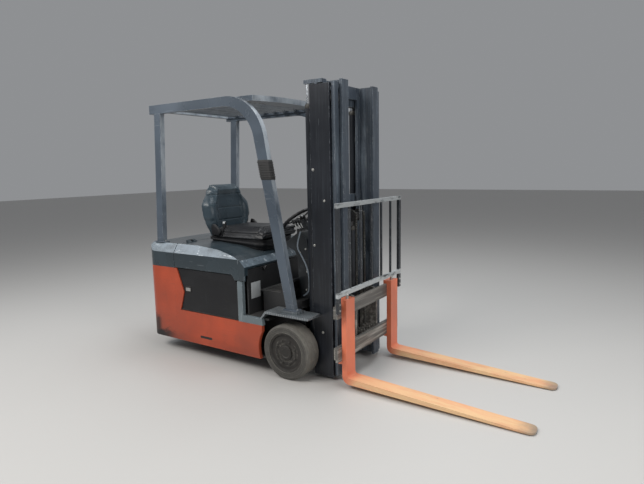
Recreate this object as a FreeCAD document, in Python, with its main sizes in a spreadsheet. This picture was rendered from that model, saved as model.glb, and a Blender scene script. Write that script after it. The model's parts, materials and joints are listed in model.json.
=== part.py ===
import FreeCAD, Part
import math
import os
import Sketcher

# Three-wheel electric counterbalance forklift with a three-stage mast.
# Millimetres, +X to the fork tips, +Y to the driver's left, +Z up, floor at Z = 0.
# Outlines are drawn from the front axle: the origin piece "axle_x" shifts them to the middle.

Vector = FreeCAD.Vector
doc = FreeCAD.newDocument("Forklift")
sheet = doc.addObject("Spreadsheet::Sheet", "Sizes")

# Driving sizes: alias, millimetres or degrees, what it is.
SIZES = (
    ("body_width", 1040, "over the side panels"),
    ("wheelbase", 1200, "front axle to steered twin wheels"),
    ("rear_reach", 270, "steered axle to the back of the counterweight"),
    ("fork_face", 466, "front axle to the front of the fork shanks"),
    ("fork_length", 1220, "blade in front of the shank"),
    ("ground_gap", 120, "under the body"),
    ("fit_gap", 0.3, "between pieces that seat without touching"),
    ("drive_tyre_d", 406, "front cushion tyre"),
    ("drive_tyre_w", 150, "front tyre width"),
    ("drive_tyre_out", 510, "centre plane to the outer face of a front tyre"),
    ("drive_rim_d", 292, "front wheel disc"),
    ("tyre_shoulder", 14, "chamfer of the front tyres"),
    ("face_in", 18, "wheel face inside the tyre's face"),
    ("face_t", 14, "wheel face plate"),
    ("disc_in", 40, "back of the wheel disc behind its face"),
    ("rim_lip", 4, "rim flange inside the tyre's face"),
    ("rim_t", 12, "rim wall"),
    ("rim_slope", 20, "slope from the wheel face to the rim"),
    ("seat_in", 0.02, "rim inside its tyre"),
    ("steer_tyre_d", 340, "rear tyre"),
    ("steer_tyre_w", 105, "rear tyre width"),
    ("steer_inner", 40, "centre plane to the inner face of a rear tyre"),
    ("steer_rim_d", 215, "rear wheel disc"),
    ("steer_room", 230, "radius of the well that the twin wheels turn in"),
    ("steer_roof", 385, "top of that well"),
    ("bearing_r", 110, "turntable bearing of the steered wheels"),
    ("bearing_t", 15, "its height"),
    ("turret_r", 100, "turret plate under the bearing"),
    ("turret_t", 17, "its thickness"),
    ("post_long", 70, "turret post fore and aft"),
    ("post_half", 30, "half the post across"),
    ("stub_r", 25, "steered axle stubs"),
    ("arch_r", 238, "wheel arch in the side panel"),
    ("panel_t", 30, "side panel"),
    ("panel_top", 380, "top of the low side panel"),
    ("panel_front", 200, "front axle back to the low panel's front end"),
    ("notch_low_in", 128, "steered axle to the lower rear corner of the cover's opening"),
    ("notch_in", 178, "steered axle to the point of its notch"),
    ("notch_z", 536, "height of that point"),
    ("notch_high_in", 104, "steered axle to the upper rear corner of the opening"),
    ("cover_t", 14, "battery cover"),
    ("cover_in", 8, "battery cover behind the body's face"),
    ("cover_slope", 48, "slope of its upper front corner, fore and aft"),
    ("cover_slope_z", 655, "where that slope starts"),
    ("split_z", 730, "top of the orange body"),
    ("deck_z", 925, "top of hood and rear deck"),
    ("shoulder", 70, "drop of the sloping shoulder of hood and deck"),
    ("shoulder_in", 48, "its width"),
    ("joint_gap", 6, "gap round the hood"),
    ("cw_in", 70, "steered axle to the front of the counterweight"),
    ("bridge_half", 130, "half the frame's bridge over the steered wheels"),
    ("bridge_t", 45, "its thickness"),
    ("tow_half", 40, "half the tow mouth's width"),
    ("tow_low", 430, "bottom of the tow mouth"),
    ("tow_high", 520, "top of the tow mouth"),
    ("tow_depth", 70, "depth of the tow mouth"),
    ("tow_seat", 25, "tow pin into the floor of its mouth"),
    ("tow_pin_x", 38, "tow pin ahead of the counterweight's back"),
    ("tow_pin_r", 14, "tow pin"),
    ("cw_round", 110, "its rear corners"),
    ("cw_slope", 28, "how far the rear slopes in at the bottom"),
    ("cw_slope_z", 330, "where that slope starts"),
    ("hood_in", 82, "steered axle to the hood's hinge end"),
    ("hood_front", 350, "front axle to the hood's front"),
    ("hood_skirt", 785, "foot of the hood's front wall"),
    ("hood_apron", 696, "lower edge of the hood's sides at the front"),
    ("hood_bend_in", 320, "steered axle to where the hood's top starts to fall"),
    ("hood_mid_x", 640, "next bend of its top behind the axle"),
    ("hood_mid_z", 908, "height of that bend"),
    ("hood_fore_x", 470, "third bend behind the axle"),
    ("hood_fore_z", 874, "height of that bend"),
    ("hood_lip_x", 395, "last bend behind the axle"),
    ("hood_lip_z", 848, "height of that bend"),
    ("hood_brow", 800, "top of the hood's front wall"),
    ("hood_wall", 14, "hood shell"),
    ("apron_slope", 26, "slope of the apron's rear end"),
    ("hinge_out", 3, "hood's hinge end to its hinge"),
    ("hinge_z", 935, "hood hinge height"),
    ("hinge_r", 9, "hinge knuckles"),
    ("hinge_pin_r", 5, "hinge pins"),
    ("hinge_y", 330, "centre plane to a hinge"),
    ("hinge_leaf", 34, "hinge leaf fore and aft"),
    ("knuckle", 28, "length of a hinge knuckle"),
    ("battery_in", 270, "steered axle to the battery's rear"),
    ("battery_front", 450, "front axle to the battery's front"),
    ("battery_side", 16, "battery to a side panel"),
    ("battery_top", 690, "top of the battery"),
    ("plate_t", 15, "frame plates"),
    ("bulkhead_in", 8, "battery's front to the rear face of the front bulkhead"),
    ("bulkhead_z", 725, "top of the front bulkhead"),
    ("tail_gap", 10, "battery's rear to the rear bulkhead"),
    ("tail_z", 700, "top of the rear bulkhead"),
    ("wall_front", 75, "front of the wheel-well walls ahead of the axle"),
    ("beam_back", 14, "rear of the front cross beam behind the axle"),
    ("lug_half", 22, "middle of a tilt cylinder to one of its lugs"),
    ("lug_t", 12, "frame lugs of the tilt cylinders"),
    ("lug_foot", 60, "half a lug's foot"),
    ("lug_round", 27, "a lug round its pin"),
    ("step_drop", 40, "step edge's head under the split line"),
    ("cover_front", 432, "front axle to the front of the battery covers"),
    ("step_x", 380, "front axle to the upright of the step edge"),
    ("step_front", 160, "front axle to the front of the side steps"),
    ("floor_z", 430, "top of the side steps"),
    ("deck_floor", 600, "top of the footwell floor"),
    ("deck_rear", 315, "front axle to the rear of that floor"),
    ("floor_front", 150, "front axle back to where the toe board starts"),
    ("toe_x", 45, "front axle back to the head of the toe board"),
    ("sheet_t", 12, "floor sheet"),
    ("well_wall", 352, "outer face of the inner wheel-well wall"),
    ("well_t", 10, "its thickness"),
    ("beam_z", 500, "underside of the front cross beam"),
    ("beam_t", 56, "its height"),
    ("beam_x", 45, "front of the cross beam ahead of the axle"),
    ("fender_z", 492, "top of the front fenders"),
    ("fender_t", 16, "fender plate"),
    ("fender_x", 215, "fender ends ahead of and behind the axle"),
    ("fender_fall", 47, "fore and aft run of the fender's falling rear end"),
    ("boss_half", 40, "half the boss under a guard leg, across"),
    ("boss_long", 70, "half that boss, fore and aft"),
    ("axle_tube_r", 65, "drive axle housing"),
    ("motor_r", 92, "traction motors"),
    ("motor_out", 215, "centre plane to a motor's outer end"),
    ("motor_in", 15, "centre plane to its inner end"),
    ("pivot_x", 115, "mast pivot ahead of the front axle"),
    ("pivot_z", 215, "mast pivot height"),
    ("pivot_r", 25, "mast pivot pin"),
    ("pivot_y", 301, "centre plane to the middle of a mast eye"),
    ("eye_w", 34, "mast eye"),
    ("cheek_t", 18, "cheeks that hold the pivot pin"),
    ("cheek_gap", 4, "beside the mast eye"),
    ("guard_z", 2055, "top of the overhead guard"),
    ("guard_y", 450, "centre plane to the middle of a guard leg"),
    ("guard_leg_w", 44, "guard leg across"),
    ("guard_leg_d", 70, "guard leg fore and aft"),
    ("guard_foot_z", 512, "foot of the front legs"),
    ("guard_foot_x", 33, "foot ahead of the front axle"),
    ("guard_bend_x", 262, "corner of leg and roof rail behind the axle"),
    ("guard_bend_r", 330, "bend between leg and roof rail"),
    ("guard_out", 171, "steered axle to the back of the roof"),
    ("pillar_foot_out", 138, "rear pillar foot behind the steered axle"),
    ("pillar_top_out", 78, "rear pillar top behind the steered axle"),
    ("pillar_d", 72, "rear pillar fore and aft"),
    ("leg_top_in", 45, "bend's outer corner ahead of its middle"),
    ("leg_low_in", 42, "bend's inner corner behind its middle"),
    ("roof_t", 40, "roof frame"),
    ("roof_drop", 5, "roof frame under the rails' top"),
    ("roof_rear", 50, "rear member of the roof frame"),
    ("roof_front", 70, "front member of the roof frame"),
    ("roof_side", 20, "side members of the roof frame"),
    ("slat_t", 8, "slat plate, fore and aft"),
    ("slat_lean", 42, "slat's top behind its foot"),
    ("header_front", 205, "front of the roof header behind the axle"),
    ("header_bow", 85, "its bow from the middle to the ends"),
    ("slat_pitch", 116, "between roof slats"),
    ("mast_half", 348, "half the width over the outer channels"),
    ("mast_foot", 28, "bottom of the mast rails"),
    ("outer_top", 2085, "top of the outer channels"),
    ("middle_step", 10, "top of the middle rails over the outer channels"),
    ("inner_step", 20, "top of the inner rails over the middle ones"),
    ("mast_back", 150, "back of the outer channels ahead of the axle"),
    ("rail_web", 14, "web of a mast rail"),
    ("rail_flange", 20, "flange of a mast rail"),
    ("outer_depth", 160, "outer channel fore and aft"),
    ("middle_back", 180, "back of the middle rails ahead of the axle"),
    ("middle_depth", 155, "middle rail fore and aft"),
    ("inner_back", 208, "back of the inner rails ahead of the axle"),
    ("inner_depth", 152, "inner rail fore and aft"),
    ("middle_reach", 36, "middle rail's flange inside its web"),
    ("inner_reach", 34, "inner rail's flange inside its web"),
    ("head_plate_t", 26, "plate on a middle rail's head, over its lift rod"),
    ("head_plate_long", 60, "that plate beyond the rail, fore and aft"),
    ("cheek_plate_t", 6, "plates beside a chain's anchor"),
    ("cheek_side", 5, "between such a plate and the chain"),
    ("flange_in", 60, "outer channel flange, from its outer face inward"),
    ("rail_gap", 6, "between stages"),
    ("tie_t", 16, "ties between a stage's rails"),
    ("tie_tall", 100, "their height at the foot"),
    ("head_tie", 110, "their height at the head"),
    ("waist_z", 1150, "outer stage's tie behind the driver's view"),
    ("waist_step", 100, "middle stage's tie over that tie's foot"),
    ("waist_tall", 70, "height of the middle stage's tie"),
    ("eye_round", 36, "mast eye round its pin"),
    ("ledge_t", 10, "ledge under a lift cylinder"),
    ("ledge_long", 62, "that ledge behind the rails"),
    ("mast_lug_t", 10, "mast lugs of the tilt cylinders"),
    ("mast_lug_r", 22, "a mast lug round its pin"),
    ("barrel_r", 30, "lift cylinder barrel"),
    ("rod_r", 21, "lift cylinder rod"),
    ("rod_gap", 0.5, "between rod and barrel bore"),
    ("barrel_low", 265, "bottom of the lift cylinder barrels"),
    ("barrel_high", 1960, "top of the lift cylinder barrels"),
    ("free_x", 262, "centre cylinder ahead of the front axle"),
    ("free_r", 35, "centre cylinder barrel"),
    ("free_low", 135, "bottom of the centre cylinder"),
    ("free_high", 1085, "top of the centre cylinder"),
    ("sheave_x", 300, "sheaves ahead of the front axle"),
    ("sheave_z", 1165, "sheave centres"),
    ("sheave_r", 38, "sheave groove"),
    ("sheave_y", 60, "centre plane to a lift chain"),
    ("chain_w", 25, "lift chain across"),
    ("chain_t", 12, "lift chain thickness"),
    ("chain_low", 330, "lift chain anchor on the carriage"),
    ("chain_end", 420, "rear end of a lift chain"),
    ("anchor_z", 1000, "inner stage's tie that carries the chain anchors"),
    ("free_rod_r", 22, "centre cylinder rod"),
    ("yoke_half", 40, "half the sheave yoke's width"),
    ("sheave_t", 26, "sheave width"),
    ("sheave_pin_r", 10, "sheave pin"),
    ("bar_t", 32, "fork bar thickness"),
    ("bar_half", 472, "half the fork bars' length"),
    ("bar_high", 607, "top of the upper fork bar"),
    ("bar_low", 200, "bottom of the lower fork bar"),
    ("bar_tall", 100, "height of a fork bar"),
    ("side_plate_y", 160, "centre plane to a carriage side plate's middle"),
    ("side_plate_t", 20, "carriage side plate"),
    ("plate_low", 120, "foot of the side plates"),
    ("plate_ahead", 45, "side plates ahead of the inner rails' back"),
    ("hook_t", 14, "hook rail on the back of a fork bar, fore and aft"),
    ("hook_z", 17, "height of that rail"),
    ("hook_lip", 3, "fork claw ahead of the bar's back"),
    ("claw_t", 9, "fork claw"),
    ("roller_stub_r", 18, "stubs of the carriage rollers"),
    ("roller_w", 30, "mast roller"),
    ("roller_gap", 0.5, "between a roller and the flanges"),
    ("roller_side", 3, "between a roller and a web"),
    ("roller_notch", 72, "half the notch in a flange beside a roller"),
    ("roller_low", 170, "rollers at the feet of the middle and inner rails"),
    ("roller_drop", 95, "rollers under the heads of the outer channels"),
    ("fork_w", 115, "fork width"),
    ("fork_t", 38, "fork shank thickness"),
    ("fork_right_y", 362, "right fork off the centre plane"),
    ("fork_left_y", 330, "left fork off the centre plane"),
    ("heel_low", 38, "underside of the fork heel"),
    ("heel_high", 83, "top of the fork blade at the heel"),
    ("tip_low", 6, "underside of the fork tip"),
    ("tip_high", 17, "top of the fork tip"),
    ("heel_round", 55, "outer bend of the heel"),
    ("crook_round", 22, "inner bend of the heel"),
    ("tip_round", 38, "corners of the tip in plan"),
    ("rest_half", 490, "half the load backrest's width"),
    ("rest_low", 660, "bottom of its lower rail"),
    ("rest_high", 1290, "top of its upper rail"),
    ("rest_t", 20, "its plate thickness"),
    ("rest_rail", 30, "its rails' height"),
    ("rest_post", 36, "its side posts' width"),
    ("rest_bar", 14, "its upright bars' width"),
    ("rest_pitch", 158, "between upright bars"),
    ("tilt_y", 240, "centre plane to a tilt cylinder"),
    ("tilt_rear_x", 330, "its rear pin behind the front axle"),
    ("tilt_rear_z", 290, "its rear pin's height"),
    ("tilt_front_x", 125, "its rod pin ahead of the front axle"),
    ("tilt_front_z", 480, "its rod pin's height"),
    ("tilt_barrel_r", 31, "tilt cylinder barrel"),
    ("tilt_barrel_len", 300, "rear pin to the end of the barrel"),
    ("tilt_rod_r", 15, "tilt cylinder rod"),
    ("tilt_eye_w", 24, "its eyes"),
    ("tilt_pin_r", 12, "its pins"),
    ("tilt_play", 1.2, "rod eye round its pin"),
    ("tilt_neck_r", 11, "neck between barrel and eye"),
    ("tilt_tail", 38, "rear pin to the barrel's rear end"),
    ("tilt_wall", 22, "barrel's solid rear end"),
    ("tilt_eye_r", 24, "barrel eye"),
    ("rod_eye_r", 20, "rod eye"),
    ("rod_in", 120, "rear pin to the rod's inner end"),
    ("spindle_r", 35, "front wheel spindle"),
    ("cowl_half", 255, "half the cowl's width"),
    ("cowl_front", 62, "front of the cowl ahead of the axle"),
    ("cowl_toe", 80, "rise of the cowl's lower front"),
    ("cowl_brow", 890, "top of the cowl's upright front"),
    ("cowl_crown_x", 30, "front corner of its crown ahead of the axle"),
    ("cowl_crown_z", 1005, "height of that corner"),
    ("cowl_lip_x", 146, "under the dash, behind the axle"),
    ("cowl_lip_z", 940, "height there"),
    ("cowl_knee_x", 72, "cowl above the driver's knees, behind the axle"),
    ("cowl_knee_z", 905, "height there"),
    ("cowl_shin_x", 50, "cowl in front of the shins, behind the axle"),
    ("cowl_shin_z", 850, "height there"),
    ("cowl_foot_x", 42, "cowl over the toe board, behind the axle"),
    ("cowl_foot_z", 620, "height there"),
    ("dash_low_x", 161, "lower edge of the dash behind the axle"),
    ("dash_low_z", 968, "height of that edge"),
    ("dash_high_x", 21, "upper edge of the dash behind the axle"),
    ("dash_high_z", 1066, "height of that edge"),
    ("column_len", 155, "dash to steering wheel"),
    ("column_r", 34, "steering column"),
    ("hub_r", 38, "steering wheel hub"),
    ("hub_t", 40, "its height"),
    ("hub_drop", 28, "its underside below the ring's plane"),
    ("spoke_w", 20, "steering wheel spokes"),
    ("spoke_t", 12, "their thickness"),
    ("lever_len", 110, "dash to the top of a lever's knob"),
    ("lever_t", 9, "lever stems"),
    ("knob_r", 13, "lever knobs"),
    ("knob_len", 34, "their length"),
    ("lever_y", 180, "centre plane to the middle lever"),
    ("lever_pitch", 35, "between levers"),
    ("pedal_in", 12, "pedals above the foot of the toe board"),
    ("pedal_len", 60, "pedals fore and aft"),
    ("pedal_t", 14, "pedal pads"),
    ("wheel_ring_r", 145, "steering wheel ring"),
    ("wheel_grip_r", 14, "steering wheel grip"),
    ("seat_half", 240, "half the seat cushion's width"),
    ("seat_back", 935, "front axle to the back of the cushion"),
    ("seat_front", 385, "front axle to the front of the cushion"),
    ("seat_tail", 1080, "front axle to the back of the seat base"),
    ("seat_low", 960, "underside of the cushion"),
    ("seat_high", 1060, "top of the cushion"),
    ("backrest_high", 1405, "top of the backrest"),
    ("backrest_half", 272, "half the backrest over its wings"),
    ("backrest_foot", 224, "half its foot"),
    ("backrest_head", 180, "half its head"),
    ("back_low_t", 62, "backrest at its foot"),
    ("back_lean", 62, "its back's lean, foot to head"),
    ("back_crown", 40, "its face's lean, above the wings"),
    ("back_shell", 85, "head of its steel back under its top"),
    ("base_in", 15, "seat base inside the cushion's sides"),
    ("wing_low", 1100, "where the wings are widest, from"),
    ("wing_high", 1215, "where the wings are widest, to"),
)


class Size:
    """A number together with the spreadsheet formula that gives it."""

    def __init__(self, number, formula):
        self.number = number
        self.formula = formula

    def __add__(self, other):
        other = as_size(other)
        return Size(self.number + other.number, f"({self.formula} + {other.formula})")

    def __radd__(self, other):
        return as_size(other) + self

    def __sub__(self, other):
        other = as_size(other)
        return Size(self.number - other.number, f"({self.formula} - {other.formula})")

    def __rsub__(self, other):
        return as_size(other) - self

    def __mul__(self, other):
        other = as_size(other)
        return Size(self.number * other.number, f"({self.formula} * {other.formula})")

    def __rmul__(self, other):
        return as_size(other) * self

    def __truediv__(self, other):
        other = as_size(other)
        return Size(self.number / other.number, f"({self.formula} / {other.formula})")

    def __neg__(self):
        return 0 - self

    def root(self):
        return Size(math.sqrt(self.number), f"sqrt({self.formula})")


def as_size(value):
    if isinstance(value, Size):
        return value
    return Size(value, f"{value:.6f}" if value >= 0 else f"(0 - {-value:.6f})")


def write_sheet():
    for row, (alias, number, meaning) in enumerate(SIZES, start=1):
        sheet.set(f"A{row}", meaning)
        sheet.set(f"B{row}", str(number))
        sheet.setAlias(f"B{row}", alias)
    doc.recompute()


write_sheet()


class Table:
    """Reads a size from the sheet by its alias."""

    def __getattr__(self, alias):
        return Size(float(sheet.get(alias)), f"Sizes.{alias}")


S = Table()
SIDES = (("left", 1), ("right", -1))
NORMAL = {"XY": Vector(0, 0, 1), "XZ": Vector(0, 1, 0), "YZ": Vector(1, 0, 0)}
band_z = S.deck_z - S.shoulder
bar_front = S.fork_face - S.fork_t - S.fit_gap
bar_back = bar_front - S.bar_t
axle_x = (S.wheelbase + S.rear_reach - S.fork_face - S.fork_length) / 2
body_half = S.body_width / 2

# Places behind the front axle that go with the steered axle.
notch_low = S.wheelbase - S.notch_low_in
notch_x = S.wheelbase - S.notch_in
notch_high = S.wheelbase - S.notch_high_in
cw_front = S.wheelbase - S.cw_in
hood_back = S.wheelbase - S.hood_in
hood_bend_x = S.wheelbase - S.hood_bend_in
hinge_x = hood_back + S.hinge_out
battery_back = S.wheelbase - S.battery_in
guard_back = S.wheelbase + S.guard_out
pillar_foot_x = S.wheelbase + S.pillar_foot_out
pillar_top_x = S.wheelbase + S.pillar_top_out

# Heights that go with the head of the outer channels.
middle_top = S.outer_top + S.middle_step
inner_top = middle_top + S.inner_step
roller_high = S.outer_top - S.roller_drop
nodes = []


def bind(thing, prop, value):
    value = as_size(value)
    if "." not in prop:
        setattr(thing, prop, value.number)
    thing.setExpression(prop, value.formula)


def place(thing, x=0, y=0, z=0):
    """Places an object drawn from the front axle."""
    bind(thing, "Placement.Base.x", axle_x + x)
    bind(thing, "Placement.Base.y", as_size(y))
    bind(thing, "Placement.Base.z", as_size(z))


def keep(thing, label):
    """Names a finished sub-part."""
    thing.Label = label
    nodes.append(thing)
    return thing


def arc_middle(start, end, sag):
    """The middle point of an arc that bulges to the right of its chord by sag."""
    run = Vector(end[0] - start[0], end[1] - start[1], 0)
    side = Vector(run.y, -run.x, 0).normalize()
    return Vector(start[0], start[1], 0) + run * 0.5 + side * sag


def draw(sketch, outline):
    """Draws a closed outline of (x, y) or (x, y, sag) corners, each bound to the sheet."""
    corners = [tuple(as_size(value) for value in corner) for corner in outline]
    flat = [(corner[0].number, corner[1].number) for corner in corners]
    count = len(corners)
    ends = []
    for index, corner in enumerate(corners):
        start, end = flat[index], flat[(index + 1) % count]
        first, last = Vector(*start, 0), Vector(*end, 0)
        if len(corner) == 2:
            sketch.addGeometry(Part.LineSegment(first, last))
            ends.append((1, 2))
        else:
            middle = arc_middle(start, end, corner[2].number)
            sketch.addGeometry(Part.Arc(first, middle, last))
            ends.append((1, 2) if corner[2].number > 0 else (2, 1))
    for index in range(count):
        after = (index + 1) % count
        sketch.addConstraint(Sketcher.Constraint("Coincident", index, ends[index][1], after, ends[after][0]))
    for index, corner in enumerate(corners):
        for kind, value in (("DistanceX", corner[0]), ("DistanceY", corner[1])):
            number = sketch.addConstraint(Sketcher.Constraint(kind, -1, 1, index, ends[index][0], value.number))
            sketch.setExpression(f"Constraints[{number}]", value.formula)
        if len(corner) == 3:
            far = corners[(index + 1) % count]
            across, along = far[0] - corner[0], far[1] - corner[1]
            chord = (across * across + along * along).root()
            reach = (corner[2] / 2 - chord * chord / (8 * corner[2])) / chord
            if abs(along.number) > abs(across.number):
                kind, value = "DistanceX", (corner[0] + far[0]) / 2 + along * reach
            else:
                kind, value = "DistanceY", (corner[1] + far[1]) / 2 - across * reach
            number = sketch.addConstraint(Sketcher.Constraint(kind, -1, 1, index, 3, value.number))
            sketch.setExpression(f"Constraints[{number}]", value.formula)


def ring(sketch, centre, radius):
    """Draws a circle bound to the sheet."""
    x, y, radius = as_size(centre[0]), as_size(centre[1]), as_size(radius)
    sketch.addGeometry(Part.Circle(Vector(x.number, y.number, 0), Vector(0, 0, 1), radius.number))
    for kind, value in (("DistanceX", x), ("DistanceY", y)):
        number = sketch.addConstraint(Sketcher.Constraint(kind, -1, 1, 0, 3, value.number))
        sketch.setExpression(f"Constraints[{number}]", value.formula)
    number = sketch.addConstraint(Sketcher.Constraint("Radius", 0, radius.number))
    sketch.setExpression(f"Constraints[{number}]", radius.formula)


class Piece:
    """A PartDesign body whose features run between two planes, low and high, along a plane's normal."""

    def __init__(self, label, x=0, y=0, z=0, final=True):
        self.body = doc.addObject("PartDesign::Body", label)
        if final:
            keep(self.body, label)
        place(self.body, x, y, z)

    def sketch(self, plane, offset=0):
        sketch = self.body.newObject("Sketcher::SketchObject", "outline")
        role = plane + "_Plane"
        base = [item for item in self.body.Origin.OriginFeatures if item.Role == role][0]
        sketch.AttachmentSupport = (base, [""])
        sketch.MapMode = "FlatFace"
        offset = as_size(offset)
        bind(sketch, "AttachmentOffset.Base.z", -offset if plane == "XZ" else offset)
        return sketch

    def extrude(self, kind, plane, low, high, shape, rounds=()):
        low, high = as_size(low), as_size(high)
        before = self.body.Shape.Volume if self.body.Tip else 0
        sketch = self.sketch(plane, (low + high) / 2)
        if isinstance(shape, list):
            draw(sketch, shape)
        else:
            ring(sketch, shape[:2], shape[2])
        feature = self.body.newObject("PartDesign::" + kind, kind.lower())
        feature.Profile = sketch
        feature.SideType = "Symmetric"
        bind(feature, "Length", high - low)
        doc.recompute()
        if kind == "Pocket" and not feature.Shape.Volume < before - 1e-6:
            raise ValueError(f"{self.body.Label}: a pocket cuts nothing")
        for corner, radius in rounds:
            self.round_corner(plane, shape[corner], radius)
        return self

    def add(self, plane, low, high, shape, rounds=()):
        return self.extrude("Pad", plane, low, high, shape, rounds)

    def cut(self, plane, low, high, shape, rounds=()):
        return self.extrude("Pocket", plane, low, high, shape, rounds)

    def round_corner(self, plane, corner, radius):
        """Fillets the edges that rise from one corner of an outline along the plane's normal."""
        flat = {"XY": (0, 1), "XZ": (0, 2), "YZ": (1, 2)}[plane]
        spot = (as_size(corner[0]).number, as_size(corner[1]).number)
        self.ease(radius, lambda a, b: all(
            abs(point[axis] - value) < 0.01 for point in (a, b) for axis, value in zip(flat, spot)))

    def ease(self, radius, chosen, kind="Fillet"):
        """Fillets or chamfers the straight edges whose two ends, in the body's own frame, are chosen."""
        tip = self.body.Tip
        names = []
        for number, edge in enumerate(tip.Shape.Edges, start=1):
            if len(edge.Vertexes) == 2:
                a, b = (vertex.Point for vertex in edge.Vertexes)
                if chosen(a, b):
                    names.append(f"Edge{number}")
        if not names:
            raise ValueError(f"{self.body.Label}: no edge to ease")
        feature = self.body.newObject("PartDesign::" + kind, kind.lower())
        feature.Base = (tip, names)
        bind(feature, "Radius" if kind == "Fillet" else "Size", radius)
        doc.recompute()
        return self

    def turn(self, outline):
        """Revolves an outline of (radius, along) corners about the body's Y axis."""
        sketch = self.sketch("XY")
        draw(sketch, outline)
        feature = self.body.newObject("PartDesign::Revolution", "turn")
        feature.Profile = sketch
        feature.ReferenceAxis = (sketch, ["V_Axis"])
        feature.Angle = 360
        doc.recompute()
        return self


def box(low_x, high_x, low_y, high_y, low_z, high_z):
    """A plain box bound to the sheet, drawn from the front axle."""
    block = doc.addObject("Part::Box", "block")
    for prop, low, high in (("Length", low_x, high_x), ("Width", low_y, high_y), ("Height", low_z, high_z)):
        bind(block, prop, as_size(high) - low)
    place(block, low_x, low_y, low_z)
    return block


def rod(axis, radius, low, high, a, b):
    """A cylinder from low to high along X, Y or Z; a and b are its other two coordinates in X, Y, Z order."""
    cylinder = doc.addObject("Part::Cylinder", "rod")
    bind(cylinder, "Radius", radius)
    bind(cylinder, "Height", as_size(high) - low)
    turns = {"X": (Vector(0, 1, 0), 90), "Y": (Vector(1, 0, 0), -90), "Z": (Vector(0, 0, 1), 0)}
    cylinder.Placement = FreeCAD.Placement(Vector(), FreeCAD.Rotation(*turns[axis]))
    if axis == "X":
        place(cylinder, low, a, b)
    elif axis == "Y":
        place(cylinder, a, low, b)
    else:
        place(cylinder, a, b, low)
    return cylinder


def fuse(*shapes):
    joined = doc.addObject("Part::MultiFuse", "joined")
    joined.Shapes = list(shapes)
    return joined


def minus(base, *tools):
    if len(tools) > 1:
        tool = fuse(*tools)
    else:
        tool = tools[0]
    cut = doc.addObject("Part::Cut", "cut")
    cut.Base = base
    cut.Tool = tool
    return cut


def common(*shapes):
    shared = doc.addObject("Part::MultiCommon", "shared")
    shared.Shapes = list(shapes)
    return shared


def group(*shapes):
    """Like pieces on one body that don't touch."""
    together = doc.addObject("Part::Compound", "set")
    together.Links = list(shapes)
    return together


def span(side, inner, outer):
    """A range across the object on one side, low end first."""
    return (inner, outer) if side == 1 else (-outer, -inner)


def rect(low_x, low_y, high_x, high_y):
    return [(low_x, low_y), (high_x, low_y), (high_x, high_y), (low_x, high_y)]


def mirrored(outline):
    """Completes an outline of (y, z) corners on the left side with their mirror image."""
    return outline + [(-corner[0], corner[1]) for corner in reversed(outline)]


# Body: side panels, counterweight, deck, covers and frame.
def side_panels():
    outline = [
        (-cw_front, S.ground_gap), (-S.panel_front, S.ground_gap), (-S.panel_front, S.panel_top),
        (-notch_low, S.panel_top), (-notch_x, S.notch_z), (-notch_high, S.split_z),
        (-cw_front, S.split_z)]
    for name, side in SIDES:
        edges = sorted((side * body_half, side * (body_half - S.panel_t)), key=lambda size: size.number)
        panel = Piece("side_panel_" + name)
        panel.add("XZ", *edges, outline)
        panel.cut("XZ", *edges, (0, S.drive_tyre_d / 2, S.arch_r))


def counterweight():
    back = -(S.wheelbase + S.rear_reach)
    front = -cw_front - S.fit_gap
    bridge = S.bridge_half + 1
    pin_x = back + S.tow_pin_x
    weight = Piece("counterweight")
    weight.add("XY", S.ground_gap, S.split_z, [
        (back, -body_half), (front, -body_half), (front, body_half), (back, body_half)],
        rounds=((0, S.cw_round), (3, S.cw_round)))
    weight.cut("XZ", -body_half - 1, body_half + 1, [
        (back - 1, S.ground_gap - 1), (back + S.cw_slope, S.ground_gap - 1), (back - 1, S.cw_slope_z)])
    weight.cut("XY", S.ground_gap, S.steer_roof, (-S.wheelbase, 0, S.steer_room))
    weight.cut("XY", S.steer_roof, S.steer_roof + S.bridge_t + S.fit_gap,
               rect(-S.wheelbase - bridge, -bridge, front, bridge))
    weight.cut("XZ", -S.tow_half, S.tow_half, rect(back, S.tow_low, back + S.tow_depth, S.tow_high))
    weight.cut("XY", S.tow_low - S.tow_seat, S.split_z, (pin_x, 0, S.tow_pin_r + S.fit_gap))
    pin = rod("Z", S.tow_pin_r, S.tow_low - S.tow_seat + S.fit_gap, S.split_z - 1, pin_x, 0)
    keep(pin, "drawbar_pin")


def rear_deck():
    back = -(S.wheelbase + S.rear_reach)
    front = -hood_back - S.joint_gap
    low = S.split_z + S.fit_gap
    plan = Piece("plan", final=False)
    plan.add("XY", low, S.deck_z, [
        (back, -body_half), (front, -body_half), (front, body_half), (back, body_half)],
        rounds=((0, S.cw_round), (3, S.cw_round)))
    across = Piece("across", final=False)
    across.add("YZ", back, front, mirrored([
        (body_half, low), (body_half, band_z), (body_half - S.shoulder_in, S.deck_z)]))
    along = Piece("along", final=False)
    along.add("XZ", -body_half, body_half, [
        (back, low), (front, low), (front, S.deck_z), (back + S.shoulder_in, S.deck_z), (back, band_z)])
    keep(common(plan.body, across.body, along.body), "rear_deck")


def battery_covers():
    covers = []
    for name, side in SIDES:
        low, high = span(side, body_half - S.cover_in - S.cover_t, body_half - S.cover_in)
        cover = Piece("cover", final=False)
        cover.add("XZ", low, high, [
            (-notch_low + 2, S.panel_top + S.fit_gap), (-S.cover_front, S.panel_top + S.fit_gap),
            (-S.cover_front, S.cover_slope_z), (-S.cover_front - S.cover_slope, S.split_z - 1),
            (-notch_high + 3, S.split_z - 1), (-notch_x + 2, S.notch_z)])
        covers.append(cover.body)
    keep(group(*covers), "battery_covers")


toe_top = S.deck_floor + S.floor_front - S.toe_x


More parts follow.
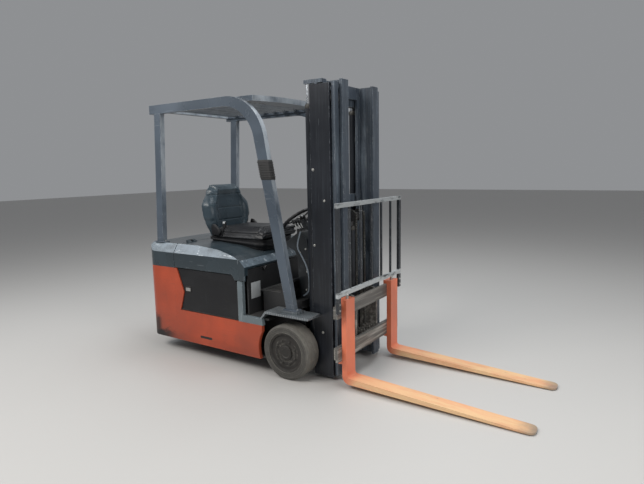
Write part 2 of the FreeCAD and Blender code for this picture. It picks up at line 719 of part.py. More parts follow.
def frame():
    half = body_half - S.panel_t
    t = S.plate_t
    low = S.ground_gap
    front = -S.battery_front + S.bulkhead_in
    tail = -battery_back - S.tail_gap
    wall_top = S.fender_z
    part = Piece("frame")
    part.add("XY", low, low + t, rect(tail - t, -half, -S.panel_front, half))
    part.add("YZ", tail - t, tail, rect(-half, low, half, S.tail_z))
    part.add("XY", S.steer_roof, S.steer_roof + S.bridge_t,
             rect(-S.wheelbase - S.bridge_half, -S.bridge_half, tail, S.bridge_half))
    part.add("YZ", front, front + t, rect(-half, low, half, S.bulkhead_z))
    for name, side in SIDES:
        inner, outer = span(side, S.well_wall - S.well_t, S.well_wall)
        part.add("XZ", inner, outer, [
            (front, low), (S.wall_front, low), (S.wall_front, wall_top), (S.beam_x, wall_top),
            (S.beam_x, S.beam_z + S.beam_t), (-S.toe_x + 5, S.beam_z + S.beam_t), (-S.toe_x, toe_top),
            (-S.floor_front, S.deck_floor), (-S.deck_rear, S.deck_floor),
            (-S.deck_rear, S.floor_z - t - S.fit_gap), (front, S.floor_z - t - S.fit_gap)])
        part.cut("XZ", inner - 1, outer + 1, (0, S.drive_tyre_d / 2, S.spindle_r + 1))
    part.add("YZ", -S.beam_back, S.beam_x, rect(-S.well_wall, S.beam_z, S.well_wall, S.beam_z + S.beam_t))
    x, z = -S.tilt_rear_x, S.tilt_rear_z
    for name, side in SIDES:
        for end in (-1, 1):
            middle = side * S.tilt_y + end * S.lug_half
            part.add("XZ", middle - S.lug_t / 2, middle + S.lug_t / 2, [
                (x - S.lug_foot, low + 1), (x + S.lug_foot, low + 1), (x + S.lug_round, z + S.lug_round),
                (x - S.lug_round, z + S.lug_round)])
        reach = S.lug_half + S.lug_t / 2
        part.add("XZ", side * S.tilt_y - reach, side * S.tilt_y + reach, (x, z, S.tilt_pin_r))


def battery():
    half = body_half - S.panel_t - S.battery_side
    block = box(-battery_back, -S.battery_front, -half, half, S.ground_gap + S.plate_t, S.battery_top)
    keep(block, "battery")


def footwell():
    t = S.plate_t
    half = body_half - S.panel_t
    back = -S.battery_front + S.bulkhead_in + t + S.fit_gap
    inside = S.well_wall - S.well_t - S.fit_gap
    beside = S.well_wall + S.fit_gap
    behind = -S.deck_rear - S.fit_gap
    floor = Piece("floor_plate")
    floor.add("XY", S.floor_z - t, S.floor_z, [
        (back, -half), (-S.step_front, -half), (-S.step_front, -beside), (behind, -beside), (behind, beside),
        (-S.step_front, beside), (-S.step_front, half), (back, half)])
    floor.add("XZ", -half + S.joint_gap, half - S.joint_gap, rect(
        -S.hood_front - S.sheet_t, S.floor_z - 1, -S.hood_front, S.hood_skirt - S.joint_gap))
    floor.add("XZ", -inside, inside, [
        (-S.hood_front - 1, S.deck_floor - S.sheet_t), (-S.floor_front + 5, S.deck_floor - S.sheet_t),
        (-S.toe_x, toe_top - S.sheet_t - 5), (-S.toe_x, toe_top), (-S.floor_front, S.deck_floor),
        (-S.hood_front - 1, S.deck_floor)])
    edges = []
    fenders = []
    for name, side in SIDES:
        edge = Piece("edge", final=False)
        edge.add("XZ", *span(side, half + S.fit_gap, body_half), [
            (-S.cover_front + 4, S.panel_top + S.fit_gap), (-S.panel_front + 10, S.panel_top + S.fit_gap),
            (-S.panel_front, S.floor_z), (-S.step_x, S.floor_z), (-S.step_x, S.split_z - S.step_drop),
            (-S.cover_front + 4, S.split_z - S.step_drop)])
        edges.append(edge.body)
        fender = Piece("fender", final=False)
        under = S.fender_z - S.fender_t
        fender.add("XZ", *span(side, S.well_wall + S.fit_gap, body_half), [
            (-S.fender_x, S.floor_z + S.fit_gap), (-S.fender_x + 12, S.floor_z + S.fit_gap),
            (-S.fender_x + S.fender_fall + 8, under), (S.fender_x, under), (S.fender_x, S.fender_z),
            (-S.fender_x + S.fender_fall, S.fender_z)])
        ahead = rect(S.beam_x + 30, -S.well_wall - 10, S.fender_x + 1, S.well_wall + 10)
        fender.cut("XY", under - 1, S.fender_z + 1, ahead)
        fender.add("XY", S.fender_z - 1, S.guard_foot_z - S.fit_gap, rect(
            S.guard_foot_x - S.boss_long, side * S.guard_y - S.boss_half,
            S.guard_foot_x + S.boss_long, side * S.guard_y + S.boss_half))
        fenders.append(fender.body)
    keep(group(*edges), "step_edges")
    keep(group(*fenders), "fenders")


dash_low = (-S.dash_low_x, S.dash_low_z)
dash_high = (-S.dash_high_x, S.dash_high_z)


def cowl():
    low = S.beam_z + S.beam_t + S.fit_gap
    part = Piece("cowl")
    part.add("XZ", -S.cowl_half, S.cowl_half, [
        (-S.beam_back, low), (S.beam_x, low), (S.cowl_front, low + S.cowl_toe), (S.cowl_front, S.cowl_brow),
        (S.cowl_crown_x, S.cowl_crown_z), dash_high, dash_low, (-S.cowl_lip_x, S.cowl_lip_z),
        (-S.cowl_knee_x, S.cowl_knee_z), (-S.cowl_shin_x, S.cowl_shin_z), (-S.cowl_foot_x, S.cowl_foot_z)],
        rounds=((2, 40), (3, 60), (5, 22), (6, 12), (8, 30)))


hood_top = [(-hood_bend_x, S.deck_z), (-S.hood_mid_x, S.hood_mid_z), (-S.hood_fore_x, S.hood_fore_z),
            (-S.hood_lip_x, S.hood_lip_z), (-S.hood_front, S.hood_brow)]


def hood():
    middle = body_half - S.shoulder_in
    wall = S.hood_wall
    low = S.split_z + S.joint_gap
    inside = body_half - wall
    skirt = body_half - S.panel_t - S.joint_gap
    part = Piece("hood")
    part.add("YZ", -hood_back, -S.hood_front, mirrored([
        (body_half, low), (body_half, band_z), (middle, S.deck_z)]))
    part.cut("XZ", -body_half - 1, body_half + 1, hood_top + [
        (-S.hood_front + 1, S.hood_brow), (-S.hood_front + 1, S.deck_z + 1), (-hood_bend_x, S.deck_z + 1)])
    part.cut("YZ", -hood_back - 1, -hood_bend_x, mirrored([
        (inside, low), (inside, band_z - 6), (middle - 6, S.deck_z - wall)]))
    part.cut("YZ", -hood_bend_x - 1, -S.hood_front - wall, mirrored([
        (inside, low), (inside, S.hood_brow - 6)]))
    for name, side in SIDES:
        part.add("XZ", *span(side, inside, body_half), [
            (-S.cover_front - S.cover_slope, low + 1),
            (-S.cover_front - S.cover_slope + S.apron_slope, S.hood_apron), (-S.hood_front, S.hood_apron),
            (-S.hood_front, low + 1)])
    part.cut("XZ", -skirt, skirt, rect(-S.hood_front - wall - 1, low - 1, -S.hood_front + 1, S.hood_skirt))
    x, z, r = -hinge_x, S.hinge_z, S.hinge_r
    reach = S.knuckle * 1.5 + 1
    hinges = []
    for side in (1, -1):
        middle = side * S.hinge_y
        for end in (-1, 1):
            inner_end, outer_end = middle + end * (S.knuckle / 2 + 1), middle + end * reach
            low_y, high_y = sorted((inner_end, outer_end), key=lambda size: size.number)
            part.add("XZ", low_y, high_y, [
                (x, z + r, r), (x, z - r), (-hood_back + 4, z - r), (-hood_back + 4, S.deck_z - 1),
                (x + S.hinge_leaf, S.deck_z - 1), (x + S.hinge_leaf, S.deck_z + 4)])
            part.cut("XZ", low_y - 0.5, high_y + 0.5, (x, z, S.hinge_pin_r + S.fit_gap))
        hinge = Piece("hinge", final=False)
        hinge.add("XZ", middle - S.knuckle / 2, middle + S.knuckle / 2, [
            (x, z - r, r), (x, z + r), (x - S.hinge_leaf, S.deck_z + 4), (x - S.hinge_leaf, S.deck_z),
            (x - S.joint_gap, S.deck_z), (x - S.joint_gap, z - r)])
        hinge.add("XZ", middle - reach, middle + reach, (x, z, S.hinge_pin_r))
        hinges.append(hinge.body)
    keep(group(*hinges), "hood_hinges")


def seat():
    low = S.seat_low
    lift = S.fit_gap
    back = -S.seat_back
    nose = -S.seat_front
    rest_high = S.backrest_high - S.back_shell
    shell = S.hood_wall
    base = Piece("seat_frame")
    under = [(x, z + lift) for x, z in hood_top[:3]]
    base.add("XZ", -S.seat_half + S.base_in, S.seat_half - S.base_in, [(-S.seat_tail, S.deck_z + lift)] + under + [
        (nose - 40, S.hood_fore_z - 8), (nose - 40, low), (back - S.back_low_t, low),
        (back - S.back_low_t - 10, low + 40), (-S.seat_tail, low + 40)])
    base.add("XZ", -S.backrest_head + S.base_in, S.backrest_head - S.base_in, [
        (back - S.back_low_t - 2 * shell, low + 30), (back - S.back_low_t - 5, low + 30),
        (back - S.back_low_t - S.back_lean, rest_high), (back - S.back_low_t - S.back_lean - shell, rest_high)])
    cushion = Piece("seat_cushion")
    cushion.add("XZ", -S.seat_half, S.seat_half, [
        (back, low + lift), (nose - 42, low + lift), (nose - 4, low + 28), (nose, low + 65),
        (nose - 34, S.seat_high), (back, S.seat_high - 8)])
    rest = Piece("seat_backrest")
    rear = back - S.back_low_t + lift
    rest.add("XZ", -S.backrest_half, S.backrest_half, [
        (rear, low + lift), (back - 1, low + lift), (back - 1, S.wing_low), (back - S.back_crown, S.backrest_high),
        (rear - S.back_lean + 2, S.backrest_high - 20), (rear - S.back_lean, rest_high)])
    ahead, behind = back, rear - S.back_lean - 8
    for side in (1, -1):
        wing, foot, head = side * S.backrest_half, side * S.backrest_foot, side * S.backrest_head
        beyond = side * (S.backrest_half + 1)
        rest.cut("YZ", behind, ahead, [(foot, low), (beyond, S.wing_low), (beyond, low)])
        rest.cut("YZ", behind, ahead, [(head, S.backrest_high + 1), (wing, S.wing_high), (beyond, S.wing_high),
                                       (beyond, S.backrest_high + 1)])


# Overhead guard.
def guard():
    low = S.guard_foot_z
    rail_low = S.guard_z - S.guard_leg_d
    half = S.guard_leg_d / 2
    outline = [
        (S.guard_foot_x - half, low), (S.guard_foot_x + half, low),
        (-S.guard_bend_x + S.leg_top_in, S.guard_z), (-guard_back, S.guard_z),
        (-guard_back, rail_low), (-S.guard_bend_x - S.leg_low_in, rail_low)]
    legs = []
    pillars = []
    for name, side in SIDES:
        across = side * S.guard_y - S.guard_leg_w / 2, side * S.guard_y + S.guard_leg_w / 2
        leg = Piece("leg", final=False)
        leg.add("XZ", *across, outline, rounds=((2, S.guard_bend_r + half), (5, S.guard_bend_r - half)))
        legs.append(leg.body)
        pillar = Piece("pillar", final=False)
        pillar.add("XZ", *across, [
            (-pillar_foot_x - S.pillar_d / 2, S.deck_z), (-pillar_foot_x + S.pillar_d / 2, S.deck_z),
            (-pillar_top_x + S.pillar_d / 2, rail_low), (-pillar_top_x - S.pillar_d / 2, rail_low)])
        pillars.append(pillar.body)
    keep(group(*legs), "guard_legs")
    keep(group(*pillars), "guard_pillars")
    inside = S.guard_y - S.guard_leg_w / 2
    roof = Piece("guard_roof")
    front = -S.header_front - S.header_bow
    top = S.guard_z - S.roof_drop
    roof.add("XY", top - S.roof_t, top, [
        (-guard_back, -inside), (front, -inside, S.header_bow), (front, inside), (-guard_back, inside)])
    opening = rect(-guard_back + S.roof_rear, -inside + S.roof_side, front - S.roof_front, inside - S.roof_side)
    roof.cut("XY", top - S.roof_t, top, opening)
    count = int((guard_back.number + front.number - 120) / S.slat_pitch.number)
    for index in range(count):
        x = -guard_back + S.roof_rear + (index + 0.75) * S.slat_pitch
        roof.add("XZ", -inside + S.roof_side, inside - S.roof_side, [
            (x, top - S.roof_t + 5), (x + S.slat_t, top - S.roof_t + 5), (x + S.slat_lean + S.slat_t, top - 5),
            (x + S.slat_lean, top - 5)])


# Drive axle, wheels and steering.
def drive_axle():
    axle_z = S.drive_tyre_d / 2
    inside = S.well_wall - S.well_t - S.fit_gap
    reach = S.drive_tyre_out - S.drive_tyre_w / 2 + 38
    keep(fuse(
        rod("Y", S.axle_tube_r, -inside, inside, 0, axle_z),
        rod("Y", S.motor_r, -S.motor_out, -S.motor_in, 0, axle_z),
        rod("Y", S.motor_r, S.motor_in, S.motor_out, 0, axle_z),
        rod("Y", S.spindle_r, -reach, reach, 0, axle_z)), "drive_axle")


def mast_pivots():
    axle_z = S.drive_tyre_d / 2
    reach = 30
    sets = []
    for name, side in SIDES:
        pieces = []
        for offset in (-1, 1):
            middle = side * S.pivot_y + offset * (S.eye_w / 2 + S.cheek_gap + S.cheek_t / 2)
            cheek = Piece("cheek", final=False)
            cheek.add("XZ", middle - S.cheek_t / 2, middle + S.cheek_t / 2, [
                (-30, axle_z - 55), (S.pivot_x, S.pivot_z - reach, reach), (S.pivot_x, S.pivot_z + reach),
                (-30, S.pivot_z + reach)])
            cheek.cut("XZ", middle - S.cheek_t / 2, middle + S.cheek_t / 2, (0, axle_z, S.axle_tube_r + 0.1))
            pieces.append(cheek.body)
        span = S.eye_w / 2 + S.cheek_gap + S.cheek_t
        pin = rod("Y", S.pivot_r, side * S.pivot_y - span, side * S.pivot_y + span, S.pivot_x, S.pivot_z)
        sets.append(fuse(*pieces, pin))
    keep(group(*sets), "mast_pivots")


def front_wheels():
    radius = S.drive_tyre_d / 2
    rim = S.drive_rim_d / 2
    half = S.drive_tyre_w / 2
    shoulder = S.tyre_shoulder
    bore = S.spindle_r + 1
    for name, side in SIDES:
        middle = side * (S.drive_tyre_out - half)
        tyre = Piece("front_tyre_" + name, y=middle, z=radius)
        tyre.turn([
            (rim, -half), (radius - shoulder, -half), (radius, -half + shoulder), (radius, half - shoulder),
            (radius - shoulder, half), (rim, half)])
        disc = Piece("front_rim_" + name, y=middle, z=radius)
        out = side * 1.0
        face = half - S.face_in
        plate = face - S.face_t
        disc.turn([
            (bore, out * (face - S.disc_in)), (bore, out * plate), (0, out * plate), (0, out * face),
            (rim - S.rim_slope, out * face), (rim - S.rim_t, out * (half - S.rim_lip)),
            (rim - S.seat_in, out * (half - S.rim_lip)), (rim - S.seat_in, -out * (half - S.rim_lip)),
            (rim - S.rim_t, -out * (half - S.rim_lip)), (rim - S.rim_t, out * (face - S.disc_in))])


def steering():
    radius = S.steer_tyre_d / 2
    x = -S.wheelbase
    plate = S.steer_roof - S.bearing_t
    rim = S.steer_rim_d / 2
    half = S.steer_tyre_w / 2
    reach = S.steer_inner + S.steer_tyre_w - S.rim_t
    keep(rod("Z", S.bearing_r, plate, S.steer_roof, x, 0), "steer_bearing")
    flange = rod("Z", S.turret_r, plate - S.turret_t, plate - S.fit_gap, x, 0)
    post = box(x - S.post_long / 2, x + S.post_long / 2, -S.post_half, S.post_half, radius - S.post_long / 2,
               plate - S.turret_t + 1)
    axle = rod("Y", S.stub_r, -reach, reach, x, radius)
    keep(fuse(flange, post, axle), "steer_yoke")
    tyres = []
    rims = []
    shoulder = S.rim_t
    bore = S.stub_r + S.fit_gap
    for side in (1, -1):
        middle = side * (S.steer_inner + half)
        out = side * 1.0
        tyre = Piece("tyre", x=x, y=middle, z=radius, final=False)
        tyre.turn([(rim, -out * half), (radius, -out * half), (radius, out * (half - shoulder)),
                   (radius - shoulder, out * half), (rim, out * half)])
        disc = Piece("disc", x=x, y=middle, z=radius, final=False)
        inner, outer = -out * (half - 6), out * (half - 10)
        disc.turn([(bore, inner), (bore, outer), (rim - S.seat_in, outer), (rim - S.seat_in, inner)])
        tyres.append(tyre.body)
        rims.append(disc.body)
    keep(group(*tyres), "steer_tyres")
    keep(group(*rims), "steer_rims")


def leaning(label, x, z, y, solids):
    """Places solids drawn along Z so that Z leans back square to the dash."""
    tilt = math.degrees(math.atan2(S.dash_high_z.number - S.dash_low_z.number,
                                   S.dash_low_x.number - S.dash_high_x.number))
    item = doc.addObject("Part::Feature", label)
    item.Shape = solids[0].fuse(solids[1:]) if len(solids) > 1 else solids[0]
    turn = FreeCAD.Rotation(Vector(0, 1, 0), -tilt)
    item.Placement = FreeCAD.Placement(Vector(axle_x.number + x, y, z), turn)
    return item


def on_dash(share):
    """A point on the dash, share of the way from its lower to its upper edge."""
    return (dash_low[0] + share * (dash_high[0] - dash_low[0])).number, (
        dash_low[1] + share * (dash_high[1] - dash_low[1])).number


def steering_wheel():
    x, z = on_dash(0.35)
    length = S.column_len.number
    ring_r = S.wheel_ring_r.number
    drop = S.hub_drop.number
    stub = Part.makeCylinder(S.column_r.number, length - drop - 0.5)
    keep(leaning("steering_column", x, z, 0, [stub]), "steering_column")
    middle = Vector(0, 0, length)
    grip_r = S.wheel_grip_r.number
    corners = []
    for turn in range(0, 361, 60):
        angle = math.radians(turn)
        corners.append(Vector(ring_r + grip_r * math.cos(angle), 0, length + grip_r * math.sin(angle)))
    grip = Part.Face(Part.makePolygon(corners)).revolve(Vector(), Vector(0, 0, 1), 360)
    hub = Part.makeCylinder(S.hub_r.number, S.hub_t.number, middle - Vector(0, 0, drop))
    wide, thick = S.spoke_w.number, S.spoke_t.number
    spokes = []
    for angle in (90, 210, 330):
        spoke = Part.makeBox(ring_r - 5, wide, thick, Vector(0, -wide / 2, -thick / 2))
        spoke.Placement = FreeCAD.Placement(middle, FreeCAD.Rotation(Vector(0, 0, 1), angle))
        spokes.append(spoke)
    keep(leaning("steering_wheel", x, z, 0, [grip, hub] + spokes), "steering_wheel")


def levers():
    x, z = on_dash(0.8)
    length = S.lever_len.number
    knob_len = S.knob_len.number
    wide = S.lever_t.number
    sticks = []
    for index in (-1, 0, 1):
        y = (index * S.lever_pitch - S.lever_y).number
        stem = Part.makeBox(wide, wide, length - knob_len / 2, Vector(-wide / 2, -wide / 2, 0))
        knob = Part.makeCylinder(S.knob_r.number, knob_len, Vector(0, 0, length - knob_len))
        sticks.append(leaning("lever", x, z, y, [stem, knob]))
    keep(group(*sticks), "levers")
    pads = []
    toe = S.deck_floor + S.floor_front + S.fit_gap * 1.5
    low = -S.floor_front + S.pedal_in
    high = low + S.pedal_len
    thick = S.pedal_t
    for y, width in ((-110, 60), (60, 90)):
        pedal = Piece("pedal", final=False)
        pedal.add("XZ", y - width / 2, y + width / 2, [
            (low, low + toe), (high, high + toe), (high - thick, high + toe + thick),
            (low - thick, low + toe + thick)])
        pads.append(pedal.body)
    keep(group(*pads), "pedals")


# Mast stages: label, back, depth, outer reach, web outer face, inner reach, top.
def channel(side, back, depth, out, web_out, web_in, inside):
    """A rail section in plan: flanges from out to inside, web between web_out and web_in."""
    front = back + depth
    flange = S.rail_flange
    points = [
        (back, out), (back + flange, out), (back + flange, web_out), (front - flange, web_out),
        (front - flange, out), (front, out), (front, inside), (front - flange, inside),
        (front - flange, web_in), (back + flange, web_in), (back + flange, inside), (back, inside)]
    return [(x, side * y) for x, y in points]


def outer_channel(side, back, depth, out, inside):
    """The outer rail is a plain channel: its web is flush with its outer face."""
    front = back + depth
    flange = S.rail_flange
    web = out - S.rail_web
    points = [
        (back, out), (front, out), (front, inside), (front - flange, inside), (front - flange, web),
        (back + flange, web), (back + flange, inside), (back, inside)]
    return [(x, side * y) for x, y in points]


outer_inside = S.mast_half - S.flange_in
middle_out = S.mast_half - S.rail_web - S.rail_gap
middle_web_out = outer_inside - S.rail_gap
middle_web_in = middle_web_out - S.rail_web
middle_inside = middle_web_in - S.middle_reach
inner_out = middle_web_in - S.rail_gap
inner_web_out = middle_inside - S.rail_gap
inner_web_in = inner_web_out - S.rail_web
inner_inside = inner_web_in - S.inner_reach
outer_x = S.mast_back + S.outer_depth / 2
middle_x = S.middle_back + S.middle_depth / 2
inner_x = S.inner_back + S.inner_depth / 2
outer_roller_r = S.outer_depth / 2 - S.rail_flange - S.roller_gap
middle_roller_r = S.middle_depth / 2 - S.rail_flange - S.roller_gap
inner_roller_r = S.inner_depth / 2 - S.rail_flange - S.roller_gap


def ties(part, back, inside, levels):
    for low, high in levels:
        part.add("YZ", back + 1, back + 1 + S.tie_t, rect(-inside - 2, low, inside + 2, high))


def rail_rollers(sets):
    """Rollers on stubs: each row is rail web face, middle in X, radius, height, and the face it faces."""
    rollers = []
    for web, x, radius, z, far in sets:
        for side in (1, -1):
            pair = (side * web, side * far)
            low, high = sorted(pair, key=lambda size: size.number)
            rollers.append(rod("Y", radius, low, high, x, z))
    return rollers


def outer_mast():
    part = Piece("outer_mast")
    back = S.mast_back
    left, right = (outer_channel(side, back, S.outer_depth, S.mast_half, outer_inside) for side in (1, -1))
    part.add("XY", S.mast_foot, S.outer_top, left)
    tilt_z = S.tilt_front_z
    foot = S.mast_foot + 20
    ties(part, back, outer_inside, (
        (foot, foot + S.tie_tall), (tilt_z - 60, tilt_z + 60), (S.waist_z, S.waist_z + 80),
        (S.outer_top - S.head_tie, S.outer_top)))
    part.add("XY", S.mast_foot, S.outer_top, right)
    x, z = S.pivot_x, S.pivot_z
    for side in (1, -1):
        low, high = side * S.pivot_y - S.eye_w / 2, side * S.pivot_y + S.eye_w / 2
        part.add("XZ", low, high, [
            (back + 5, z - S.eye_round - 24), (back + 5, z + S.eye_round + 9), (x, z + S.eye_round, S.eye_round),
            (x, z - S.eye_round)])
        part.cut("XZ", low - 1, high + 1, (x, z, S.pivot_r + S.fit_gap))
        ledge = side * (S.pivot_y - 1)
        part.add("XY", S.barrel_low - S.ledge_t, S.barrel_low, rect(
            back - S.ledge_long, ledge - S.barrel_r, back + 5, ledge + S.barrel_r))
        for end in (-1, 1):
            middle = side * S.tilt_y + end * S.lug_half
            part.add("XZ", middle - S.mast_lug_t / 2, middle + S.mast_lug_t / 2, [
                (back + 5, tilt_z - 40), (back + 5, tilt_z + 40),
                (S.tilt_front_x, tilt_z + S.mast_lug_r, S.mast_lug_r), (S.tilt_front_x, tilt_z - S.mast_lug_r)])
        reach = S.lug_half + S.mast_lug_t / 2
        part.add("XZ", side * S.tilt_y - reach, side * S.tilt_y + reach, (S.tilt_front_x, tilt_z, S.tilt_pin_r))
    notch(part, outer_inside, S.mast_half - S.rail_web, back + S.outer_depth - S.rail_flange,
          back + S.outer_depth, roller_high)
    keep(group(*rail_rollers((
        (S.mast_half - S.rail_web, middle_x, middle_roller_r, roller_high, middle_web_out + S.roller_side),))),
        "outer_mast_rollers")


def notch(part, inside, outside, back, front, height):
    """Opens a rail's flange on both sides where a roller of the next rail stands."""
    for side in (1, -1):
        low, high = span(side, inside - 1, outside)
        part.cut("XY", height - S.roller_notch, height + S.roller_notch, rect(back, low, front, high))


def lift_cylinders():
    x = S.mast_back - S.barrel_r - 2
    barrels = []
    rods = []
    for side in (1, -1):
        y = side * (S.pivot_y - 1)
        shell = rod("Z", S.barrel_r, S.barrel_low, S.barrel_high, x, y)
        bore = rod("Z", S.rod_r + S.rod_gap, S.barrel_low + 20, S.barrel_high + 1, x, y)
        barrels.append(minus(shell, bore))
        rods.append(rod("Z", S.rod_r, S.barrel_low + 25, middle_top - S.fit_gap, x, y))
    keep(group(*barrels), "lift_barrels")
    keep(group(*rods), "lift_rods")


def middle_mast():
    part = Piece("middle_mast")
    left, right = (channel(side, S.middle_back, S.middle_depth, middle_out, middle_web_out, middle_web_in,
                           middle_inside) for side in (1, -1))
    foot = S.mast_foot + 10
    part.add("XY", foot, middle_top, left)
    ties(part, S.middle_back, middle_inside, (
        (foot + 10, foot + 10 + S.tie_tall), (S.waist_z + S.waist_step, S.waist_z + S.waist_step + S.waist_tall),
        (middle_top - S.head_tie - 10, middle_top)))
    part.add("XY", foot, middle_top, right)
    for side in (1, -1):
        low, high = span(side, middle_web_in, middle_out)
        part.add("XY", middle_top, middle_top + S.head_plate_t, rect(
            S.mast_back - S.head_plate_long, low, S.middle_back + S.head_plate_long, high))
    back, front = S.middle_back, S.middle_back + S.middle_depth
    notch(part, middle_web_out + 1, middle_out + 1, back, back + S.rail_flange, S.roller_low)
    notch(part, middle_inside, middle_web_in, front - S.rail_flange, front, roller_high)
    keep(group(*rail_rollers((
        (middle_web_out, outer_x, outer_roller_r, S.roller_low, S.mast_half - S.rail_web - S.roller_side),
        (middle_web_in, inner_x, inner_roller_r, roller_high, inner_web_out + S.roller_side)))),
        "middle_mast_rollers")


def anchor_plates(part, back, low, high, front):
    """A plate on each side of each lift chain."""
    for side in (1, -1):
        for end in (-1, 1):
            middle = side * S.sheave_y + end * (S.chain_w / 2 + S.cheek_side + S.cheek_plate_t / 2)
            part.add("XZ", middle - S.cheek_plate_t / 2, middle + S.cheek_plate_t / 2, rect(back, low, front, high))


def inner_mast():
    part = Piece("inner_mast")
    left, right = (channel(side, S.inner_back, S.inner_depth, inner_out, inner_web_out, inner_web_in,
                           inner_inside) for side in (1, -1))
    foot = S.mast_foot + 15
    part.add("XY", foot, inner_top, left)
    ties(part, S.inner_back, inner_inside, (
        (foot + 5, foot + 5 + S.tie_tall), (S.anchor_z, S.anchor_z + 60), (inner_top - 90, inner_top)))
    part.add("XY", foot, inner_top, right)
    part.add("XY", S.free_low - 20, S.free_low, rect(S.inner_back + 5, -45, S.free_x + S.free_r + 3, 45))
    anchor_plates(part, S.inner_back + 10, S.anchor_z + 5, S.anchor_z + 50, S.sheave_x - S.sheave_r + 4)
    notch(part, inner_web_out + 1, inner_out + 1, S.inner_back, S.inner_back + S.rail_flange, S.roller_low)
    keep(group(*rail_rollers((
        (inner_web_out, middle_x, middle_roller_r, S.roller_low, middle_web_in - S.roller_side),))),
        "inner_mast_rollers")


def free_lift():
    shell = rod("Z", S.free_r, S.free_low, S.free_high, S.free_x, 0)
    bore = rod("Z", S.free_rod_r + S.rod_gap, S.free_low + 20, S.free_high + 1, S.free_x, 0)
    keep(minus(shell, bore), "free_lift_barrel")
    ram = rod("Z", S.free_rod_r, S.free_low + 25, S.sheave_z - 20, S.free_x, 0)
    half = S.yoke_half
    yoke = box(S.free_x - 30, S.sheave_x + 14, -half, half, S.sheave_z - S.free_rod_r, S.sheave_z + S.free_rod_r)
    reach = S.sheave_y + S.sheave_t / 2 + 3
    pin = rod("Y", S.sheave_pin_r, -reach, reach, S.sheave_x, S.sheave_z)
    sheaves = []
    chains = []
    for side in (1, -1):
        y = side * S.sheave_y
        sheave = Piece("sheave", x=S.sheave_x, y=y, z=S.sheave_z, final=False)
        r = S.sheave_r
        bore_r = S.sheave_pin_r + 0.05
        sheave.turn([(bore_r, -S.sheave_t / 2), (r - S.fit_gap, -S.sheave_t / 2), (r - S.fit_gap, S.sheave_t / 2),
                     (bore_r, S.sheave_t / 2)])
        sheaves.append(sheave.body)
        low, high = y - S.chain_w / 2, y + S.chain_w / 2
        outer = S.sheave_r + S.chain_t
        chain = Piece("chain", final=False)
        chain.add("XZ", low, high, [
            (S.sheave_x + r, S.chain_low), (S.sheave_x + outer, S.chain_low),
            (S.sheave_x + outer, S.sheave_z, outer), (S.sheave_x - outer, S.sheave_z),
            (S.sheave_x - outer, S.chain_end), (S.sheave_x - r, S.chain_end), (S.sheave_x - r, S.sheave_z, -r),
            (S.sheave_x + r, S.sheave_z)])
        chains.append(chain.body)
    keep(fuse(ram, yoke, pin), "free_lift_head")
    keep(group(*sheaves), "chain_sheaves")
    keep(group(*chains), "lift_chains")


def carriage():
    part = Piece("carriage")
    back, front = bar_back, bar_front
    half = S.bar_half
    hook = S.hook_t
    step = S.hook_z
    part.add("XZ", -half, half, [
        (back, S.bar_high - S.bar_tall), (front, S.bar_high - S.bar_tall), (front, S.bar_high),
        (back + hook, S.bar_high), (back + hook, S.bar_high - step), (back, S.bar_high - step)])
    ahead = S.inner_back + S.plate_ahead
    for side in (1, -1):
        low = side * S.side_plate_y - S.side_plate_t / 2
        high = side * S.side_plate_y + S.side_plate_t / 2
        part.add("XZ", low, high, [
            (ahead, S.plate_low), (back - 60, S.plate_low), (back + 1, S.bar_low + step),
            (back + 1, S.bar_high - step), (ahead, S.bar_high + 20)])
    part.add("XZ", -half, half, [
        (back, S.bar_low + step), (back + hook, S.bar_low + step), (back + hook, S.bar_low), (front, S.bar_low),
        (front, S.bar_low + S.bar_tall), (back, S.bar_low + S.bar_tall)])
    anchor_plates(part, S.sheave_x + S.sheave_r - 4, S.chain_low - 45, S.chain_low - 5, back + 1)
    rollers = []
    reach = inner_web_in - 2
    for side in (1, -1):
        for z in (S.plate_low + 65, S.bar_high - 47):
            face = side * (S.side_plate_y + S.side_plate_t / 2)
            wheel_low, inner_face = side * reach, side * (reach - S.roller_w)
            spans = [sorted(pair, key=lambda size: size.number)
                     for pair in ((face, inner_face), (inner_face, wheel_low))]
            stub = rod("Y", S.roller_stub_r, *spans[0], inner_x, z)
            roller = rod("Y", inner_roller_r, *spans[1], inner_x, z)
            rollers.append(fuse(stub, roller))
    keep(group(*rollers), "carriage_rollers")


def forks():
    front = S.fork_face
    rear = S.fork_face - S.fork_t
    back = bar_back
    tip = S.fork_face + S.fork_length
    top = S.bar_high + 25
    lip, claw = S.hook_lip, S.hook_lip + S.claw_t
    outline = [
        (front, top), (back + lip, top), (back + lip, S.bar_high - claw), (back + claw, S.bar_high - claw),
        (back + claw, S.bar_high + S.fit_gap), (rear, S.bar_high + S.fit_gap), (rear, S.bar_low - 1),
        (back + claw, S.bar_low - 1), (back + claw, S.bar_low + claw), (back + lip, S.bar_low + claw),
        (back + lip, S.bar_low - 25), (rear, S.bar_low - 25), (rear, S.heel_low), (tip, S.tip_low),
        (tip, S.tip_high), (front, S.heel_high)]
    for name, y in (("left", S.fork_left_y), ("right", -S.fork_right_y)):
        fork = Piece("fork_" + name)
        fork.add("XZ", y - S.fork_w / 2, y + S.fork_w / 2, outline, rounds=((12, S.heel_round), (15, S.crook_round)))
        fork.ease(S.tip_round, lambda a, b: min(a.x, b.x) > tip.number - 1 and abs(a.z - b.z) > 5, kind="Fillet")


